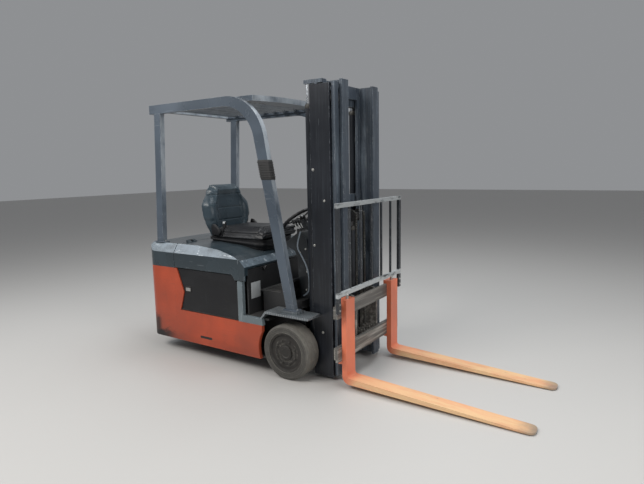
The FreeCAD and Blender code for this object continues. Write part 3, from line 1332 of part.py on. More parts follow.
def load_backrest():
    low_x = bar_front + 0.3
    high_x = low_x + S.rest_t
    half = S.rest_half
    part = Piece("load_backrest")
    part.add("YZ", low_x, high_x, rect(-half, S.rest_high - S.rest_rail, half, S.rest_high))
    part.add("YZ", low_x, high_x, rect(half - S.rest_post, S.bar_high - 60, half, S.rest_high))
    part.add("YZ", low_x, high_x, rect(-half, S.bar_high - 60, -half + S.rest_post, S.rest_high))
    part.add("YZ", low_x, high_x, rect(-half, S.rest_low, half, S.rest_low + S.rest_rail))
    for index in range(-2, 3):
        y = index * S.rest_pitch
        part.add("YZ", low_x + 3, high_x - 3, rect(y - S.rest_bar / 2, S.rest_low + 5, y + S.rest_bar / 2,
                                                  S.rest_high - 5))


def tilt_cylinders():
    start = Vector(axle_x.number - S.tilt_rear_x.number, 0, S.tilt_rear_z.number)
    end = Vector(axle_x.number + S.tilt_front_x.number, 0, S.tilt_front_z.number)
    along = (end - start).normalize()
    length = (end - start).Length
    cross = Vector(0, 1, 0)
    wide = S.tilt_eye_w.number
    tail, inner = S.tilt_tail.number, S.rod_in.number
    tube_len = S.tilt_barrel_len.number
    for name, side in SIDES:
        rear = start + cross * (side * S.tilt_y.number)
        front = end + cross * (side * S.tilt_y.number)
        half_eye = cross * (wide / 2)
        neck = Part.makeCylinder(S.tilt_neck_r.number, tail, rear + along * 15, along)
        eye = Part.makeCylinder(S.tilt_eye_r.number, wide, rear - half_eye, cross)
        tube = Part.makeCylinder(S.tilt_barrel_r.number, tube_len - tail, rear + along * tail, along)
        floor = tail + S.tilt_wall.number
        bore = Part.makeCylinder(S.tilt_rod_r.number + S.rod_gap.number, tube_len, rear + along * floor, along)
        holes = [Part.makeCylinder(S.tilt_pin_r.number + play, 2 * wide, spot - cross * wide, cross)
                 for spot, play in ((rear, S.fit_gap.number), (front, S.tilt_play.number))]
        barrel = doc.addObject("Part::Feature", "tilt_barrel_" + name)
        barrel.Shape = tube.fuse([eye, neck]).cut(bore).cut(holes[0])
        keep(barrel, "tilt_barrel_" + name)
        stem = Part.makeCylinder(S.tilt_rod_r.number, length - inner - 10, rear + along * inner, along)
        head = Part.makeCylinder(S.rod_eye_r.number, wide, front - half_eye, cross)
        ram = doc.addObject("Part::Feature", "tilt_rod_" + name)
        ram.Shape = stem.fuse(head).cut(holes[1])
        keep(ram, "tilt_rod_" + name)


side_panels()
counterweight()
rear_deck()
battery_covers()
frame()
battery()
footwell()
cowl()
hood()
seat()
guard()
front_wheels()
steering()
steering_wheel()
levers()
drive_axle()
mast_pivots()
outer_mast()
lift_cylinders()
middle_mast()
inner_mast()
free_lift()
carriage()
forks()
load_backrest()
tilt_cylinders()

doc.recompute()

for item in doc.Objects:
    if "Invalid" in item.State or "Error" in item.State:
        raise RuntimeError(f"{item.Label} has not been built: {item.State}")
for node in nodes:
    if node.Shape.isNull() or not node.Shape.isValid():
        raise RuntimeError(f"{node.Label} is not a valid shape")

os.makedirs("parts", exist_ok=True)
for node in nodes:
    node.Shape.exportStep(f"parts/{node.Label}.step")
    print(node.Label, len(node.Shape.Solids), round(node.Shape.Volume / 1e6, 2))
print(len(nodes), "sub-parts")
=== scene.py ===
import json
import math

import bmesh
import bpy
from mathutils import Matrix, Vector

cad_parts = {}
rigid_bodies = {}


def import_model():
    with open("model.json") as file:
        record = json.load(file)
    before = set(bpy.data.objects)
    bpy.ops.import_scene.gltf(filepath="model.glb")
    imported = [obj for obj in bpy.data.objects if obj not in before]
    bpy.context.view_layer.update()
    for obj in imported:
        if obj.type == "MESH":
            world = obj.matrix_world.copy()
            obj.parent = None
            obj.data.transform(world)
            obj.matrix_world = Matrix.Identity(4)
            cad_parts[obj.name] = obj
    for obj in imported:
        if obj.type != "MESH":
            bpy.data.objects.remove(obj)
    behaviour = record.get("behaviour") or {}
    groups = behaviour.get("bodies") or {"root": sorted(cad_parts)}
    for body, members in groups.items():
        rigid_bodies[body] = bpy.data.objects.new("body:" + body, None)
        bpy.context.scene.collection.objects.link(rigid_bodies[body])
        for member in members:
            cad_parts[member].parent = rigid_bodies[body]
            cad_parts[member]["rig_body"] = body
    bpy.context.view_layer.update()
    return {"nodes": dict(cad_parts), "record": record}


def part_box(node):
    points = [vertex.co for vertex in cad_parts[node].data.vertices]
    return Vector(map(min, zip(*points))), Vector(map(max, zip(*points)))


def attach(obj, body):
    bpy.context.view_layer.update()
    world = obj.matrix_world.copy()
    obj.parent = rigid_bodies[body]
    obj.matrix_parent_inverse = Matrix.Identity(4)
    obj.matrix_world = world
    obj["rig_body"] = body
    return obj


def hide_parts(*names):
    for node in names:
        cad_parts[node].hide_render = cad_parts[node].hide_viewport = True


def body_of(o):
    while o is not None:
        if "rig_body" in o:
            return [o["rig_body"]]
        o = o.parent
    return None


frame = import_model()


# Side panels and counterweight. Folded steel panels and a cast iron weight, sprayed in one orange coat.
# The paint is near black along the bottom edge, most towards the rear, and at the lower rear corners, and the
# coat is rubbed brown above them.
class Graph:
    """Short calls for building a node tree."""

    def __init__(self, tree):
        self.tree = tree

    def node(self, kind, inputs=None, **settings):
        item = self.tree.nodes.new(kind)
        for key, value in settings.items():
            setattr(item, key, value)
        for key, value in (inputs or {}).items():
            self.feed(item.inputs[key], value)
        return item

    def feed(self, socket, value):
        if isinstance(value, bpy.types.NodeSocket):
            self.tree.links.new(value, socket)
        elif socket.type == "RGBA" and len(value) == 3:
            socket.default_value = (*value, 1)
        else:
            socket.default_value = value

    def coords(self, stretch=(1, 1, 1)):
        place = self.node("ShaderNodeTexCoord").outputs["Object"]
        if stretch == (1, 1, 1):
            return place
        return self.node("ShaderNodeMapping", {"Vector": place, "Scale": stretch}).outputs[0]

    def axes(self):
        return self.node("ShaderNodeSeparateXYZ", {0: self.coords()}).outputs

    def facing(self):
        flat = self.node("ShaderNodeNewGeometry").outputs["Normal"]
        return self.node("ShaderNodeSeparateXYZ", {0: flat}).outputs

    def noise(self, scale, detail=4, rough=0.55, stretch=(1, 1, 1), bend=0.0):
        return self.node("ShaderNodeTexNoise", {
            "Vector": self.coords(stretch), "Scale": scale, "Detail": detail, "Roughness": rough,
            "Distortion": bend}).outputs["Fac"]

    def remap(self, value, low, high, out_low=0.0, out_high=1.0):
        return self.node("ShaderNodeMapRange", {
            "Value": value, "From Min": low, "From Max": high, "To Min": out_low, "To Max": out_high},
            interpolation_type="SMOOTHSTEP").outputs[0]

    def math(self, operation, a, b=0.0):
        return self.node("ShaderNodeMath", {0: a, 1: b}, operation=operation).outputs[0]

    def times(self, *values):
        total = values[0]
        for value in values[1:]:
            total = self.math("MULTIPLY", total, value)
        return total

    def mix(self, share, a, b, blend="MIX"):
        item = self.tree.nodes.new("ShaderNodeMix")
        item.data_type = "RGBA"
        item.blend_type = blend
        self.feed(item.inputs[0], share)
        self.feed(item.inputs[6], a)
        self.feed(item.inputs[7], b)
        return item.outputs[2]

    def bump(self, height, strength, distance=0.001):
        return self.node("ShaderNodeBump", {
            "Height": height, "Strength": strength, "Distance": distance}).outputs[0]


def worn_group():
    """Cloudy paint, rubbed edges, thin scratches, dust on upward faces and dirt low down."""
    tree = bpy.data.node_groups.new("worn_finish", "ShaderNodeTree")
    colors = {"Paint": (0.5, 0.5, 0.5, 1), "Bare": (0.4, 0.4, 0.4, 1), "Dirt": (0.06, 0.05, 0.04, 1),
              "Dust Color": (0.24, 0.23, 0.21, 1)}
    amounts = {"Edge": 0.6, "Scratch": 0.3, "Dust": 0.3, "Grime": 0.3, "Rough": 0.4}
    for kind, rows in (("Color", colors), ("Float", amounts)):
        for label, value in rows.items():
            socket = tree.interface.new_socket(label, in_out="INPUT", socket_type="NodeSocket" + kind)
            socket.default_value = value
    for label, kind in (("Color", "Color"), ("Roughness", "Float"), ("Height", "Float")):
        tree.interface.new_socket(label, in_out="OUTPUT", socket_type="NodeSocket" + kind)
    g = Graph(tree)
    given = tree.nodes.new("NodeGroupInput").outputs
    flat = g.node("ShaderNodeNewGeometry").outputs["Normal"]
    smooth = g.node("ShaderNodeBevel", {"Radius": 0.004}, samples=4).outputs[0]
    alike = g.node("ShaderNodeVectorMath", {0: smooth, 1: flat}, operation="DOT_PRODUCT").outputs["Value"]
    edge = g.times(g.remap(alike, 0.995, 0.93), g.remap(g.noise(9, 5, 0.65), 0.40, 0.60),
                   g.remap(g.noise(70, 3, 0.6), 0.35, 0.65))
    up = g.node("ShaderNodeSeparateXYZ", {0: flat}).outputs[2]
    dust = g.times(g.remap(up, 0.15, 0.95, 0.10, 1.0), g.remap(g.noise(5, 6, 0.6), 0.3, 0.75),
                   g.remap(g.noise(60, 4, 0.7), 0.2, 0.8, 0.55, 1.0))
    scratch = g.math("MAXIMUM", g.remap(g.noise(14, 2, 0.5, (0.35, 1, 9), 0.2), 0.715, 0.74),
                     g.remap(g.noise(11, 2, 0.5, (6, 1, 0.5), 0.3), 0.725, 0.75))
    grime = g.times(g.remap(g.axes()[2], 0.75, 0.05), g.remap(g.noise(3.2, 7, 0.62), 0.38, 0.68))
    cloud = g.remap(g.noise(2.3, 5), 0.3, 0.7)
    color = g.mix(1.0, given["Paint"], g.remap(cloud, 0, 1, 0.84, 1.12), "MULTIPLY")
    for mask, amount, over in ((grime, "Grime", "Dirt"), (scratch, "Scratch", "Bare"),
                               (edge, "Edge", "Bare"), (dust, "Dust", "Dust Color")):
        color = g.mix(g.math("MULTIPLY", mask, given[amount]), color, given[over])
    blur = g.math("ADD", given["Rough"], g.remap(cloud, 0, 1, -0.04, 0.07))
    blur = g.math("ADD", blur, g.times(dust, given["Dust"], 0.5))
    height = g.math("ADD", g.noise(320, 2), g.times(scratch, given["Scratch"], -3.0))
    end = tree.nodes.new("NodeGroupOutput")
    for label, value in (("Color", color), ("Roughness", blur), ("Height", height)):
        tree.links.new(value, end.inputs[label])
    return tree


WORN = worn_group()


def finish(name, paint, rough=0.4, bare=(0.40, 0.40, 0.40), dirt=(0.05, 0.04, 0.033), edge=0.6,
           scratch=0.3, dust=0.3, grime=0.3, metal=0.0, coat=0.0, coat_rough=0.12, grain=0.06,
           grain_deep=0.0006, gloss=0.5, over=None):
    """A worn finish from the shared group. over(g, color, blur, height) may change what the group gives."""
    mat = bpy.data.materials.new(name)
    mat.use_nodes = True
    g = Graph(mat.node_tree)
    shader = mat.node_tree.nodes["Principled BSDF"]
    worn = g.node("ShaderNodeGroup", node_tree=WORN)
    for label, value in (("Paint", paint), ("Bare", bare), ("Dirt", dirt), ("Edge", edge),
                         ("Scratch", scratch), ("Dust", dust), ("Grime", grime), ("Rough", rough)):
        g.feed(worn.inputs[label], value)
    color, blur, height = worn.outputs
    if over:
        color, blur, height = over(g, color, blur, height)
    g.feed(shader.inputs["Base Color"], color)
    g.feed(shader.inputs["Roughness"], blur)
    g.feed(shader.inputs["Normal"], g.bump(height, grain, grain_deep))
    shader.inputs["Metallic"].default_value = metal
    shader.inputs["Specular IOR Level"].default_value = gloss
    shader.inputs["Coat Weight"].default_value = coat
    shader.inputs["Coat Roughness"].default_value = coat_rough
    return mat


NODES = frame["nodes"]


def dress(material, *names, edge=0.0018):
    """Gives CAD nodes a finish and softly broken edges."""
    for name in names:
        item = NODES[name]
        item.data.materials.clear()
        item.data.materials.append(material)
        for face in item.data.polygons:
            face.use_smooth = True
        soft = item.modifiers.new("soft edges", "BEVEL")
        soft.width = edge
        soft.segments = 2
        soft.limit_method = "ANGLE"
        soft.angle_limit = math.radians(32)
        soft.harden_normals = True
        soft.use_clamp_overlap = True


def dark_low_edge_and_rubs(g, color, blur, height):
    x, y, z = g.axes()
    ragged = g.noise(16, 5, 0.7, (1, 1, 2.2))
    tail = g.remap(x, -1.15, -1.45)
    low = g.remap(g.math("ADD", z, g.times(ragged, -0.12)), 0.138, 0.090)
    rub = g.times(g.remap(z, 0.42, 0.16), g.remap(x, -1.05, -1.50), g.remap(ragged, 0.52, 0.66), 0.55)
    color = g.mix(rub, color, (0.16, 0.050, 0.028))
    runs = g.remap(g.noise(5, 5, 0.7, (0.7, 1, 9), 0.4), 0.60, 0.68)
    streak = g.times(runs, g.remap(z, 0.50, 0.20), 0.35)
    color = g.mix(streak, color, (0.20, 0.045, 0.022))
    # Near black below a ragged line along the bottom edge, strongest towards the rear, and at the lower rear
    # corner.
    ragged_z = g.math("ADD", z, g.times(ragged, -0.20))
    corner = g.times(g.remap(x, -1.415, -1.470), g.remap(ragged_z, 0.225, 0.135))
    mask = g.math("MAXIMUM", g.times(low, g.remap(tail, 0, 1, 0.12, 1.0)), g.times(corner, 0.9))
    color = g.mix(mask, color, (0.018, 0.016, 0.015))
    return color, g.math("ADD", blur, g.times(mask, 0.2)), height


orange = finish("body_orange", (0.41, 0.063, 0.024), 0.38, bare=(0.14, 0.055, 0.035), edge=0.7,
                scratch=0.45, dust=0.18, grime=0.35, coat=0.05, gloss=0.4, over=dark_low_edge_and_rubs)
dress(orange, "side_panel_left", "side_panel_right")
dress(orange, "counterweight", edge=0.006)


# Jacking slots. A narrow slot is pressed low in each side panel, where a service jack takes hold. Flat
# near-black ovals laid on the panel stand for it: painted shade for its hollow, their rims worn to dark
# steel.
SIDES = (("left", 1), ("right", -1))
SLOT_X, SLOT_Z, SLOT_LONG, SLOT_TALL, SLOT_PROUD = -0.896, 0.186, 0.135, 0.020, 0.0003


def added(bm, part, place=Matrix()):
    """Adds a shape built on its own to a piece, set at its place."""
    bmesh.ops.transform(part, matrix=place, verts=part.verts)
    mesh = bpy.data.meshes.new("part")
    part.to_mesh(mesh)
    part.free()
    bm.from_mesh(mesh)
    bpy.data.meshes.remove(mesh)


def rounded(bm, soft, segments=2):
    """Rounds every edge of a shape."""
    bmesh.ops.bevel(bm, geom=bm.edges[:], offset=soft, segments=segments, profile=0.5, affect="EDGES",
                    material=-1)


def plate(bm, outline, low, high, place=Matrix(), soft=0.0, segments=2):
    """Raises a flat outline of (x, y) corners from low to high along Z of place."""
    part = bmesh.new()
    base = part.faces.new([part.verts.new((x, y, low)) for x, y in outline])
    made = bmesh.ops.extrude_face_region(part, geom=[base], use_keep_orig=True)["geom"]
    top = [item for item in made if isinstance(item, bmesh.types.BMVert)]
    bmesh.ops.translate(part, verts=top, vec=(0, 0, high - low))
    bmesh.ops.recalc_face_normals(part, faces=part.faces)
    if soft:
        rounded(part, soft, segments)
    added(bm, part, place)


def block(bm, low, high, soft=0.002, place=Matrix(), segments=2):
    """A cube stretched between two corners, its edges rounded."""
    low, high = Vector(low), Vector(high)
    part = bmesh.new()
    stretch = Matrix.Diagonal((*(high - low), 1))
    bmesh.ops.create_cube(part, size=1, matrix=Matrix.Translation((low + high) / 2) @ stretch)
    if soft:
        rounded(part, soft, segments)
    added(bm, part, place)


def oval(long, tall, steps=6):
    """Corners of a slot shape, round at both ends."""
    reach, half = long / 2 - tall / 2, tall / 2
    turns = [math.pi * (k / steps - 0.5) for k in range(steps + 1)]
    right = [(reach + half * math.cos(t), half * math.sin(t)) for t in turns]
    return right + [(-x, -y) for x, y in right]


def finished(bm, name, material, body, sharp=35, replaces=()):
    """Turns a bmesh into a piece with its finish, riding on its body."""
    bmesh.ops.recalc_face_normals(bm, faces=bm.faces)
    mesh = bpy.data.meshes.new(name)
    bm.to_mesh(mesh)
    bm.free()
    return settled(mesh, name, material, body, sharp, replaces)


def settled(mesh, name, material, body, sharp=35, replaces=()):
    """Links a mesh as a piece with its finish, its body and the solids that it stands for."""
    item = bpy.data.objects.new(name, mesh)
    bpy.context.scene.collection.objects.link(item)
    mesh.materials.append(material)
    for face in mesh.polygons:
        face.use_smooth = True
    mesh.set_sharp_from_angle(angle=math.radians(sharp))
    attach(item, body)
    if replaces:
        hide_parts(*replaces)
    return item


def low(node):
    return Vector(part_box(node)[0])


def high(node):
    return Vector(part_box(node)[1])


def middle(node):
    return (low(node) + high(node)) / 2


UPRIGHT = Matrix.Rotation(math.pi / 2, 4, "X")


def flank(x, y, z, side):
    """A place on a flank, its X along the vehicle and its Z looking outwards."""
    return Matrix.Translation((x, side * y, z)) @ Matrix.Rotation(side * -math.pi / 2, 4, "X")


def facing(spot, axis):
    """A place whose Z looks along axis."""
    return Matrix.Translation(spot) @ Vector(axis).to_track_quat("Z", "Y").to_matrix().to_4x4()


# Painted shade: the slot is not cut, and its near-black ovals stand for the shade in its hollow.
slot_shade = finish("slot_shade_black", (0.012, 0.011, 0.011), 0.55, bare=(0.10, 0.05, 0.035), edge=0.5, dust=0.2)
slots = bmesh.new()
for name, side in SIDES:
    place = flank(SLOT_X, high("side_panel_left").y, SLOT_Z, side)
    plate(slots, oval(SLOT_LONG, SLOT_TALL), -0.001, SLOT_PROUD / 3, place)
    plate(slots, oval(SLOT_LONG * 0.8, SLOT_TALL * 0.35), 0, SLOT_PROUD, place)
finished(slots, "jacking_slots", slot_shade, "chassis")


# Battery covers. Vacuum-formed black doors set back in the body sides and bowed a little between their rims.
# Each is held by a paddle latch at its rear, and a rubber lip runs along its foot and its front edge.
COVER_FACE, COVER_REAR, COVER_FRONT, COVER_FOOT = high("battery_covers").y, -1.178, -0.545, 0.3835
LATCH_X, LATCH_Z, LIP_WIDE, LIP_TOP = -1.082, 0.566, 0.007, 0.655


def shallow_waves(g, color, blur, height):
    wave = g.noise(4.5, 3, 0.5, (1, 1, 1.6))
    color = g.mix(g.times(g.remap(wave, 0.5, 0.7), 0.30), color, (0.022, 0.023, 0.026))
    return color, blur, g.math("ADD", g.times(height, 0.12), g.times(wave, 14.0))


cover_black = finish("cover_black", (0.0085, 0.0088, 0.0105), 0.32, bare=(0.10, 0.10, 0.10), edge=0.45,
                     scratch=0.12, dust=0.08, grime=0.1, grain=0.30, gloss=0.3, over=shallow_waves)
dress(cover_black, "battery_covers", edge=0.003)
zinc = finish("zinc", (0.48, 0.48, 0.46), 0.34, edge=0.2, scratch=0.2, metal=0.85)
rubber_black = finish("rubber_black", (0.014, 0.014, 0.0145), 0.62, bare=(0.06, 0.06, 0.06), edge=0.3,
                      scratch=0.05, dust=0.35, grain=0.25)
latches = bmesh.new()
paddles = bmesh.new()
lips = bmesh.new()
for name, side in SIDES:
    place = flank(LATCH_X, COVER_FACE, LATCH_Z, side)
    block(latches, (-0.034, -0.024, -0.001), (0.034, 0.024, 0.0028), 0.0022, place)
    block(latches, (-0.028, 0.012, 0.0026), (0.028, 0.018, 0.0052), 0.001, place)
    block(paddles, (-0.026, -0.017, 0.0026), (0.026, 0.011, 0.0058), 0.0024, place, 3)
    block(paddles, (-0.026, 0.004, 0.0052), (0.026, 0.010, 0.0072), 0.0009, place)
    y0, y1 = sorted((side * (COVER_FACE - 0.001), side * (COVER_FACE + 0.003)))
    block(lips, (COVER_REAR, y0, COVER_FOOT), (COVER_FRONT, y1, COVER_FOOT + LIP_WIDE), 0.0012)
    block(lips, (COVER_FRONT - 0.0025, y0, COVER_FOOT + LIP_WIDE),
          (COVER_FRONT + 0.0035, y1, LIP_TOP), 0.0012)
finished(latches, "latch_frames", rubber_black, "chassis")
finished(paddles, "latch_paddles", zinc, "chassis")
finished(lips, "cover_lips", rubber_black, "chassis")


# Hood and rear deck. Pressed steel in gloss charcoal with rounded brows. The sloping shoulders carry a
# painted blue-grey highlight with painted glints, and are a little glossier.
# The hood hinges at its rear on two knuckles, shuts on a rubber bead and has a pull knob at its front.
def shoulder_highlight_paint(g, color, blur, height):
    # Painted highlight: sloping faces turn pale blue-grey in patches, with painted glints, and a little
    # glossier.
    up = g.facing()[2]
    slope = g.times(g.remap(up, 0.30, 0.52), g.remap(up, 0.90, 0.68))
    rubbed = g.times(slope, g.remap(g.noise(7, 5, 0.65, (0.6, 1, 1)), 0.30, 0.62))
    color = g.mix(g.times(rubbed, 0.60), color, (0.19, 0.245, 0.295))
    glints = g.times(slope, g.remap(g.noise(26, 4, 0.6, (0.5, 1, 1)), 0.60, 0.68), 0.6)
    color = g.mix(glints, color, (0.55, 0.60, 0.64))
    return color, g.math("SUBTRACT", blur, g.times(rubbed, 0.05)), height


charcoal = finish("charcoal", (0.024, 0.038, 0.048), 0.27, bare=(0.26, 0.30, 0.33), edge=0.65,
                  scratch=0.35, dust=0.12, grime=0.1, coat=0.25, gloss=0.45, over=shoulder_highlight_paint)
dress(charcoal, "hood", "rear_deck", edge=0.010)
steel_dark = finish("steel_dark", (0.045, 0.045, 0.047), 0.48, metal=0.5)
dress(steel_dark, "hood_hinges", "drive_axle", "steer_bearing", "mast_pivots", "outer_mast_rollers",
      "middle_mast_rollers", "inner_mast_rollers", "carriage_rollers", "free_lift_head", "chain_sheaves")
knob_black = finish("knob_black", (0.012, 0.012, 0.013), 0.26, bare=(0.07, 0.07, 0.07), edge=0.3,
                    scratch=0.1, dust=0.1, coat=0.2)


def spun(bm, outline, place=Matrix(), steps=48, hollow=False):
    """Spins (radius, along) points about Z. Hollow joins the outline's ends, and otherwise they close."""
    part = bmesh.new()
    if not hollow:
        outline = [(0, outline[0][1]), *outline, (0, outline[-1][1])]
    verts = [part.verts.new((radius, 0, along)) for radius, along in outline]
    edges = [part.edges.new(pair) for pair in zip(verts, verts[1:])]
    if hollow:
        edges.append(part.edges.new((verts[-1], verts[0])))
    bmesh.ops.spin(part, geom=verts + edges, cent=(0, 0, 0), axis=(0, 0, 1), angle=math.tau,
                   steps=steps, use_merge=True)
    bmesh.ops.remove_doubles(part, verts=part.verts, dist=1e-6)
    added(bm, part, place)


def hex_bolt(bm, spot, axis, size):
    """A washer and a hexagon head, its crown chamfered."""
    place = facing(spot, axis)
    washer = place @ Matrix.Translation((0, 0, size * 0.09))
    bmesh.ops.create_cone(bm, cap_ends=True, segments=18, radius1=size, radius2=size * 0.96,
                          depth=size * 0.2, matrix=washer)
    for wide, narrow, depth, rise in ((0.8, 0.8, 0.46, 0.42), (0.8, 0.62, 0.12, 0.71)):
        head = place @ Matrix.Translation((0, 0, size * rise))
        bmesh.ops.create_cone(bm, cap_ends=True, segments=6, radius1=size * wide, radius2=size * narrow,
                              depth=size * depth, matrix=head)


KNOB_Y, KNOB_Z, BEAD_Y, BEAD_Z = -0.30, 0.765, (0.497, 0.505), (0.7302, 0.7352)
HINGE_BOLT, HINGE_BOLT_GAP = Vector((-1.252, 0.33, 0.9290)), 0.020
knob = bmesh.new()
spun(knob, [(0.017, -0.0005), (0.017, 0.003), (0.009, 0.005), (0.008, 0.014), (0.014, 0.018),
            (0.017, 0.024), (0.014, 0.030), (0.005, 0.032)],
     facing((high("hood").x - 0.001, KNOB_Y, KNOB_Z), (1, 0, 0)), 28)
finished(knob, "hood_pull_knob", knob_black, "hood_lid")
beads = bmesh.new()
for name, side in SIDES:
    y0, y1 = sorted(side * y for y in BEAD_Y)
    block(beads, (-1.225, y0, BEAD_Z[0]), (-0.60, y1, BEAD_Z[1]), 0.002)
finished(beads, "hood_bead", rubber_black, "chassis")
hinge_bolts = bmesh.new()
for name, side in SIDES:
    for across in (-HINGE_BOLT_GAP, HINGE_BOLT_GAP):
        spot = (HINGE_BOLT.x, side * HINGE_BOLT.y + across, HINGE_BOLT.z)
        hex_bolt(hinge_bolts, spot, (0, 0, 1), 0.0055)
finished(hinge_bolts, "hinge_bolts", zinc, "chassis")


# Frame, battery and floor. Welded plate in black chassis paint, with the battery's grey steel tray behind
# the covers and a plated tow pin through the counterweight's mouth.
frame_black = finish("frame_black", (0.018, 0.019, 0.021), 0.46, bare=(0.22, 0.22, 0.22), edge=0.5,
                     scratch=0.15, dust=0.4, grime=0.4)
dress(frame_black, "frame", "steer_yoke")
dress(frame_black, "floor_plate", edge=0.004)
tray_grey = finish("battery_grey", (0.10, 0.11, 0.12), 0.5, dust=0.5)
dress(tray_grey, "battery")
dress(zinc, "drawbar_pin")


# Blank plate. A pale enamelled steel plate, held by a rivet in each corner to the wall in front of the
# battery, where the driver sees it.
PLATE_LOW, PLATE_HIGH = Vector((-0.4585, -0.452, 0.548)), Vector((-0.4565, -0.345, 0.672))
RIVET_IN = 0.008
pale = finish("pale_grey", (0.42, 0.44, 0.45), 0.42, edge=0.3, dust=0.25, scratch=0.35,
              bare=(0.14, 0.15, 0.15))
label = bmesh.new()
block(label, PLATE_LOW, PLATE_HIGH, 0.0008)
for y in (PLATE_LOW.y + RIVET_IN, PLATE_HIGH.y - RIVET_IN):
    for z in (PLATE_LOW.z + RIVET_IN, PLATE_HIGH.z - RIVET_IN):
        spun(label, [(0.0032, 0), (0.0026, 0.0011), (0.001, 0.0015)],
             facing((PLATE_HIGH.x - 0.0002, y, z), (1, 0, 0)), 12)
finished(label, "blank_plate", pale, "chassis")


# Side steps. Bent steel edge plates in light grey paint, welded along the sill and up the battery's front,
# their lips rubbed bright by boots.
step_grey = finish("step_grey", (0.135, 0.170, 0.188), 0.36, bare=(0.42, 0.46, 0.48), edge=0.9,
                   scratch=0.4, dust=0.25)
dress(step_grey, "step_edges", edge=0.004)


# Front fenders. Steel checker plate over the drive wheels, rolled down at the rear and worn bright on its
# raised bars and its edges. They also carry the guard's front feet.
def checker_bars(g, color, blur, height):
    bars = []
    for turn, shift in ((0.785, 0.0), (-0.785, 0.5)):
        place = g.node("ShaderNodeMapping", {
            "Vector": g.coords(), "Rotation": (0, 0, turn), "Scale": (34, 34, 34)}).outputs[0]
        parts = g.node("ShaderNodeSeparateXYZ", {0: place})
        along = g.math("FRACT", g.math("ADD", parts.outputs[0], shift))
        across = g.math("FRACT", g.math("ADD", parts.outputs[1], shift))
        long = g.remap(g.math("ABSOLUTE", g.math("SUBTRACT", along, 0.5)), 0.36, 0.28)
        thin = g.remap(g.math("ABSOLUTE", g.math("SUBTRACT", across, 0.5)), 0.14, 0.06)
        bars.append(g.times(long, thin))
    both = g.math("MAXIMUM", *bars)
    return g.mix(g.times(both, 0.45), color, (0.42, 0.45, 0.47)), blur, g.times(both, 4.0)


tread_steel = finish("tread_steel", (0.17, 0.195, 0.215), 0.34, bare=(0.60, 0.62, 0.63), edge=1.0,
                     scratch=0.2, dust=0.35, grime=0.1, metal=0.6, grain=0.9, over=checker_bars)
dress(tread_steel, "fenders", edge=0.004)


# Footwell. A moulded rubber mat lies on the floor plate, with rows of cleats across it so that boots hold.
# The pedals are covered in the same rubber.
MAT_LOW, MAT_HIGH, MAT_EDGE = Vector((-0.418, -0.328, 0.6002)), Vector((-0.270, 0.328, 0.6040)), 0.010
CLEAT_ROWS, CLEATS, CLEAT_PITCH, CLEAT_LONG, CLEAT_WIDE, CLEAT_TALL = 9, 6, 0.1065, 0.099, 0.006, 0.0025
mat_piece = bmesh.new()
block(mat_piece, MAT_LOW, MAT_HIGH, 0.0015)
for row in range(CLEAT_ROWS):
    x = MAT_LOW.x + MAT_EDGE + row * (MAT_HIGH.x - MAT_LOW.x - 2 * MAT_EDGE) / (CLEAT_ROWS - 1)
    for number in range(CLEATS):
        y = MAT_LOW.y + 0.012 + number * CLEAT_PITCH
        block(mat_piece, (x - CLEAT_WIDE / 2, y, MAT_HIGH.z - 0.0005),
              (x + CLEAT_WIDE / 2, y + CLEAT_LONG, MAT_HIGH.z + CLEAT_TALL), 0.001)
finished(mat_piece, "floor_mat", rubber_black, "chassis")
dress(rubber_black, "pedals", edge=0.003)


# Cowl and dash. A moulded black tower screwed over the cross beam, with a painted highlight as a pale strip
# down each front corner. Its sloping dash carries an instrument pod with three press buttons, and a key
# switch.
COWL_HALF = 0.255
EDGE_STRIP = ((-0.126, 1.056), (-0.150, 0.995), (-0.160, 0.930), (-0.110, 0.861), (-0.062, 0.768),
              (-0.0545, 0.660), (-0.066, 0.596), (-0.112, 0.572))
SCREW_SPOTS = ((-0.085, 0.93), (-0.075, 0.76), (-0.085, 0.62), (-0.135, 0.90))
DASH_LOW, DASH_UP = Vector((-0.269, 0, 0.968)), Vector((0.819, 0, 0.573))
DASH_OUT = Vector((-0.573, 0, 0.819))
POD_ALONG, POD_ACROSS, BUTTONS_ACROSS, KEY_ALONG, KEY_ACROSS = 0.095, 0.150, 0.042, 0.060, -0.085


def tube(bm, path, radius, smooth=True, closed=False, sides=3):
    """A round tube along points, on a smooth or a straight-run spline."""
    curve = bpy.data.curves.new("run", "CURVE")
    curve.dimensions = "3D"
    curve.bevel_depth = radius
    curve.bevel_resolution = sides
    curve.resolution_u = 8
    curve.use_fill_caps = True
    spline = curve.splines.new("NURBS" if smooth else "POLY")
    spline.points.add(len(path) - 1)
    for point, spot in zip(spline.points, path):
        point.co = (*spot, 1)
    spline.order_u = 3
    spline.use_endpoint_u = True
    spline.use_cyclic_u = closed
    item = bpy.data.objects.new("run", curve)
    mesh = bpy.data.meshes.new_from_object(item)
    part = bmesh.new()
    part.from_mesh(mesh)
    bmesh.ops.remove_doubles(part, verts=part.verts, dist=1e-6)
    added(bm, part)
    bpy.data.objects.remove(item)
    bpy.data.curves.remove(curve)
    bpy.data.meshes.remove(mesh)


def hand_rub(g, color, blur, height):
    shine = g.remap(g.noise(9, 5, 0.6), 0.52, 0.68)
    color = g.mix(g.times(shine, 0.5), color, (0.050, 0.058, 0.066))
    return color, g.math("SUBTRACT", blur, g.times(shine, 0.12)), height


